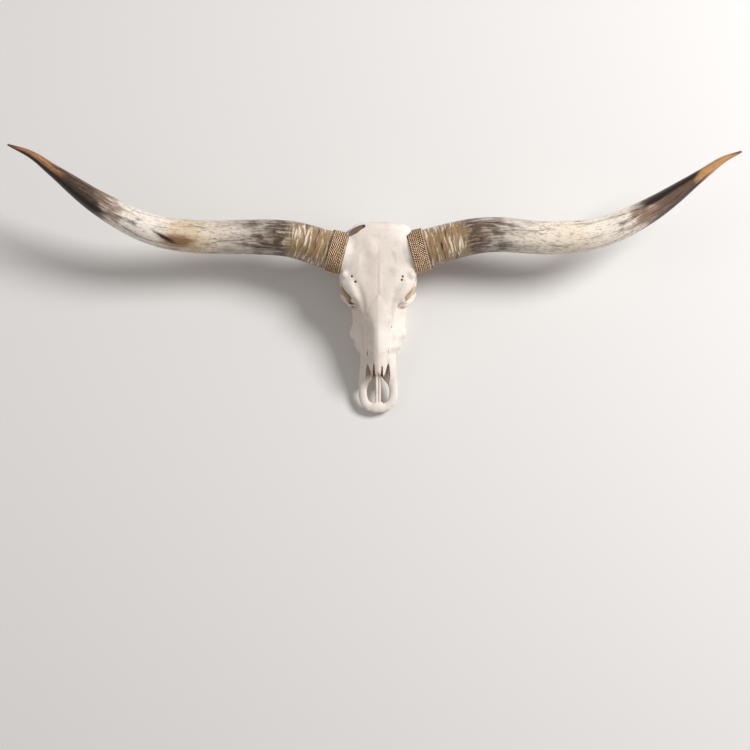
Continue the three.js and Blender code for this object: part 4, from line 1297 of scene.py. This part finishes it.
class SKULL_OT_stage(bpy.types.Operator):
    """Lays the floor, hangs the lights and places the camera"""
    bl_idname = "skull.set_stage"
    bl_label = "Set stage"

    def execute(self, context):
        scene = context.scene
        mesh = bpy.data.meshes.new("floor")
        reach = 6.0
        corners = [(-reach, -reach, 0), (reach, -reach, 0), (reach, reach, 0), (-reach, reach, 0)]
        mesh.from_pydata(corners, [], [(0, 1, 2, 3)])
        mesh.materials.append(floor_material(tints(context)))
        floor = bpy.data.objects.new("floor", mesh)
        scene.collection.objects.link(floor)
        target = to_row([(0, -150, -40)])[0]
        for name, at, size, power in LIGHTS:
            lamp = bpy.data.lights.new(name, "AREA")
            lamp.shape = "DISK"
            lamp.size = size * MM
            lamp.energy = power
            light = bpy.data.objects.new(name, lamp)
            light.location = to_row([at])[0]
            light.rotation_euler = (Vector(target) - light.location).to_track_quat("-Z", "Y").to_euler()
            scene.collection.objects.link(light)
        world = bpy.data.worlds.new("studio")
        world.use_nodes = True
        world.node_tree.nodes["Background"].inputs[0].default_value = tints(context)["daylight"]
        world.node_tree.nodes["Background"].inputs[1].default_value = 0.3
        scene.world = world
        scene.view_settings.view_transform = "Standard"
        camera = bpy.data.cameras.new("camera")
        camera.lens, camera.sensor_width = VIEW["lens"], VIEW["sensor"]
        camera.clip_end = 50
        aim, yaw = np.array(VIEW["aim"]), VIEW["yaw"]
        eye = aim + VIEW["away"] * np.array([math.sin(yaw), 0, math.cos(yaw)])
        rows = to_row([aim, eye, aim + (0, 1000, 0)])
        back = Vector(rows[1] - rows[0]).normalized()
        up = Vector(rows[2] - rows[0]).normalized()
        side = up.cross(back).normalized()
        turn = Matrix((side, back.cross(side), back)).transposed()
        viewer = bpy.data.objects.new("camera", camera)
        viewer.matrix_world = Matrix.Translation(rows[1]) @ turn.to_4x4()
        scene.collection.objects.link(viewer)
        scene.camera = viewer
        return {"FINISHED"}


class SKULL_PT_panel(bpy.types.Panel):
    """Lists the steps in the sidebar"""
    bl_idname = "SKULL_PT_panel"
    bl_label = "Longhorn skull"
    bl_space_type = "VIEW_3D"
    bl_region_type = "UI"
    bl_category = "Skull"

    def draw(self, context):
        for step in STEPS:
            self.layout.operator(step.bl_idname)
        for group in (context.scene.skull_sizes, context.scene.skull_colours):
            for key in group.__annotations__:
                self.layout.prop(group, key)


STEPS = (SKULL_OT_bones, SKULL_OT_teeth, SKULL_OT_horns, SKULL_OT_cords, SKULL_OT_stage)
CLASSES = (SkullSizes, SkullColours, *STEPS, SKULL_PT_panel)


def tints(context):
    """The colours as a plain dictionary of linear red, green, blue and alpha."""
    group = context.scene.skull_colours
    return {key: tuple(getattr(group, key)) for key in SkullColours.__annotations__}


def register():
    for cls in CLASSES:
        bpy.utils.register_class(cls)
    bpy.types.Scene.skull_sizes = bpy.props.PointerProperty(type=SkullSizes)
    bpy.types.Scene.skull_colours = bpy.props.PointerProperty(type=SkullColours)


def unregister():
    del bpy.types.Scene.skull_colours
    del bpy.types.Scene.skull_sizes
    for cls in reversed(CLASSES):
        bpy.utils.unregister_class(cls)


def main():
    """Makes all the pieces and the stage."""
    register()
    bpy.ops.skull.carve_bones()
    bpy.ops.skull.set_teeth()
    bpy.ops.skull.grow_horns()
    bpy.ops.skull.bind_cords()
    bpy.ops.skull.set_stage()


if __name__ == "__main__":
    main()
